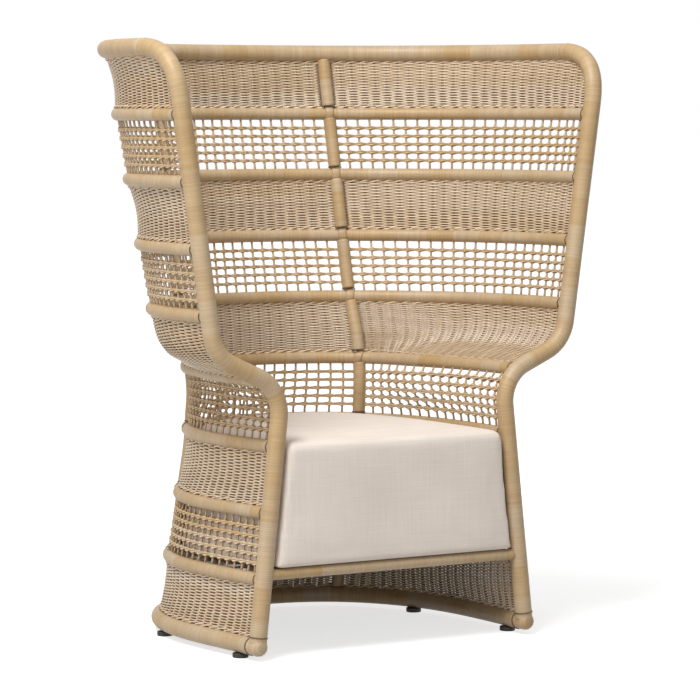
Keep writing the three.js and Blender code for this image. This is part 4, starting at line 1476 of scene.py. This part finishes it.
CAMERA_PLACE = (-4.013, -6.356, 1.141)
CAMERA_TURN = (math.radians(86.0), 0.0, math.radians(-32.95))
CAMERA_LENS = 176.1
WORLD_STRENGTH = 0.22
LAMPS = (
    ("Key", (-3.2, -1.9, 5.2), 2.4, 330.0),
    ("Fill", (-1.5, -4.5, 1.4), 3.0, 30.0),
    ("Top", (0.0, -0.9, 4.2), 2.6, 40.0),
    ("Side", (-4.5, -0.9, 0.8), 2.4, 52.0),
)
LAMP_AIM = np.array([0.0, 0.0, 0.65])


def add_lamp(name, place, size, power):
    """A square soft lamp that faces the chair."""
    light = bpy.data.lights.new(name, "AREA")
    light.size = size
    light.energy = power
    lamp = bpy.data.objects.new(name, light)
    lamp.location = place
    away = unit(np.array(place) - LAMP_AIM)
    turn = math.atan2(math.hypot(away[0], away[1]), away[2])
    lamp.rotation_euler = (turn, 0.0, math.atan2(away[0], -away[1]))
    bpy.context.scene.collection.objects.link(lamp)


def seen_rays(tree):
    """1 for camera, glossy and transmission rays, which should see the plain backdrop."""
    path = tree.nodes.new("ShaderNodeLightPath")
    seen = calculate(tree, "MAXIMUM", path.outputs["Is Camera Ray"], path.outputs["Is Glossy Ray"])
    return calculate(tree, "MAXIMUM", seen, path.outputs["Is Transmission Ray"])


def make_world():
    """A soft even sky that looks white."""
    world = bpy.data.worlds.new("Studio")
    world.use_nodes = True
    tree = world.node_tree
    sky = tree.nodes["Background"]
    sky.inputs["Color"].default_value = (1.0, 1.0, 1.0, 1.0)
    level = scaled(tree, seen_rays(tree), 1.0 - WORLD_STRENGTH, WORLD_STRENGTH)
    tree.links.new(level, sky.inputs["Strength"])
    bpy.context.scene.world = world


FLOOR_HALF = 30.0
FLOOR_ROUGHNESS = 0.9
FLOOR_LIFT = 0.70
FLOOR_NEAR = 0.9
FLOOR_FAR = 2.6


def make_floor():
    """A wide pale floor that keeps the chair's shadow and fades into the white backdrop away from the
    chair."""
    corners = [(x * FLOOR_HALF, y * FLOOR_HALF, 0.0) for x, y in ((-1, -1), (1, -1), (1, 1), (-1, 1))]
    mesh = bpy.data.meshes.new("floor")
    mesh.from_pydata(corners, [], [(0, 1, 2, 3)])
    floor = bpy.data.objects.new("floor", mesh)
    bpy.context.scene.collection.objects.link(floor)
    material = bpy.data.materials.new("Pale Floor")
    material.use_nodes = True
    tree = material.node_tree
    shader = tree.nodes["Principled BSDF"]
    shader.inputs["Base Color"].default_value = opaque(bpy.context.scene.chair_colours.backdrop)
    shader.inputs["Roughness"].default_value = FLOOR_ROUGHNESS
    shader.inputs["Specular IOR Level"].default_value = 0.0
    shader.inputs["Emission Color"].default_value = (1.0, 1.0, 1.0, 1.0)
    place = tree.nodes.new("ShaderNodeTexCoord")
    away = tree.nodes.new("ShaderNodeVectorMath")
    away.operation = "LENGTH"
    tree.links.new(place.outputs["Object"], away.inputs[0])
    fade = tree.nodes.new("ShaderNodeMapRange")
    fade.inputs["From Min"].default_value = FLOOR_NEAR
    fade.inputs["From Max"].default_value = FLOOR_FAR
    fade.inputs["To Min"].default_value = FLOOR_LIFT
    tree.links.new(away.outputs["Value"], fade.inputs["Value"])
    glow = calculate(tree, "MULTIPLY", seen_rays(tree), fade.outputs["Result"])
    tree.links.new(glow, shader.inputs["Emission Strength"])
    mesh.materials.append(material)


class CHAIR_OT_stage(bpy.types.Operator):
    """Set the floor, the sky, the lamps and the camera"""

    bl_idname = "chair.stage"
    bl_label = "Stage"

    def execute(self, context):
        scene = context.scene
        scene.view_settings.view_transform = "Standard"
        make_world()
        make_floor()
        for lamp in LAMPS:
            add_lamp(*lamp)
        data = bpy.data.cameras.new("Camera")
        data.lens = CAMERA_LENS
        camera = bpy.data.objects.new("Camera", data)
        camera.location = CAMERA_PLACE
        camera.rotation_euler = CAMERA_TURN
        scene.collection.objects.link(camera)
        scene.camera = camera
        return {"FINISHED"}


# Add-on

OPERATORS = (
    CHAIR_OT_stage,
    CHAIR_OT_wrapped_frame,
    CHAIR_OT_hoops,
    CHAIR_OT_rear_posts,
    CHAIR_OT_dense_weave,
    CHAIR_OT_open_nets,
    CHAIR_OT_seat_frame,
    CHAIR_OT_cushion,
    CHAIR_OT_glides,
)


class CHAIR_PT_panel(bpy.types.Panel):
    """Lists the chair's pieces"""

    bl_label = "Peacock Chair"
    bl_idname = "CHAIR_PT_panel"
    bl_space_type = "VIEW_3D"
    bl_region_type = "UI"
    bl_category = "Chair"

    def draw(self, context):
        for operator in OPERATORS:
            self.layout.operator(operator.bl_idname)


SETTINGS = {
    "chair_shell": ChairShellSizes,
    "chair_fibre": ChairFibreSizes,
    "chair_cushion": ChairCushionSizes,
    "chair_colours": ChairColours,
}


def register():
    """Registers the settings, the operators and the panel."""
    for name, group in SETTINGS.items():
        bpy.utils.register_class(group)
        setattr(bpy.types.Scene, name, PointerProperty(type=group))
    for cls in (*OPERATORS, CHAIR_PT_panel):
        bpy.utils.register_class(cls)


def unregister():
    """Removes what register added."""
    for cls in (CHAIR_PT_panel, *reversed(OPERATORS)):
        bpy.utils.unregister_class(cls)
    for name, group in SETTINGS.items():
        delattr(bpy.types.Scene, name)
        bpy.utils.unregister_class(group)


def main():
    """Builds the chair and its stage."""
    register()
    bpy.ops.chair.stage()
    bpy.ops.chair.wrapped_frame()
    bpy.ops.chair.hoops()
    bpy.ops.chair.rear_posts()
    bpy.ops.chair.dense_weave()
    bpy.ops.chair.open_nets()
    bpy.ops.chair.seat_frame()
    bpy.ops.chair.cushion()
    bpy.ops.chair.glides()


if __name__ == "__main__":
    main()
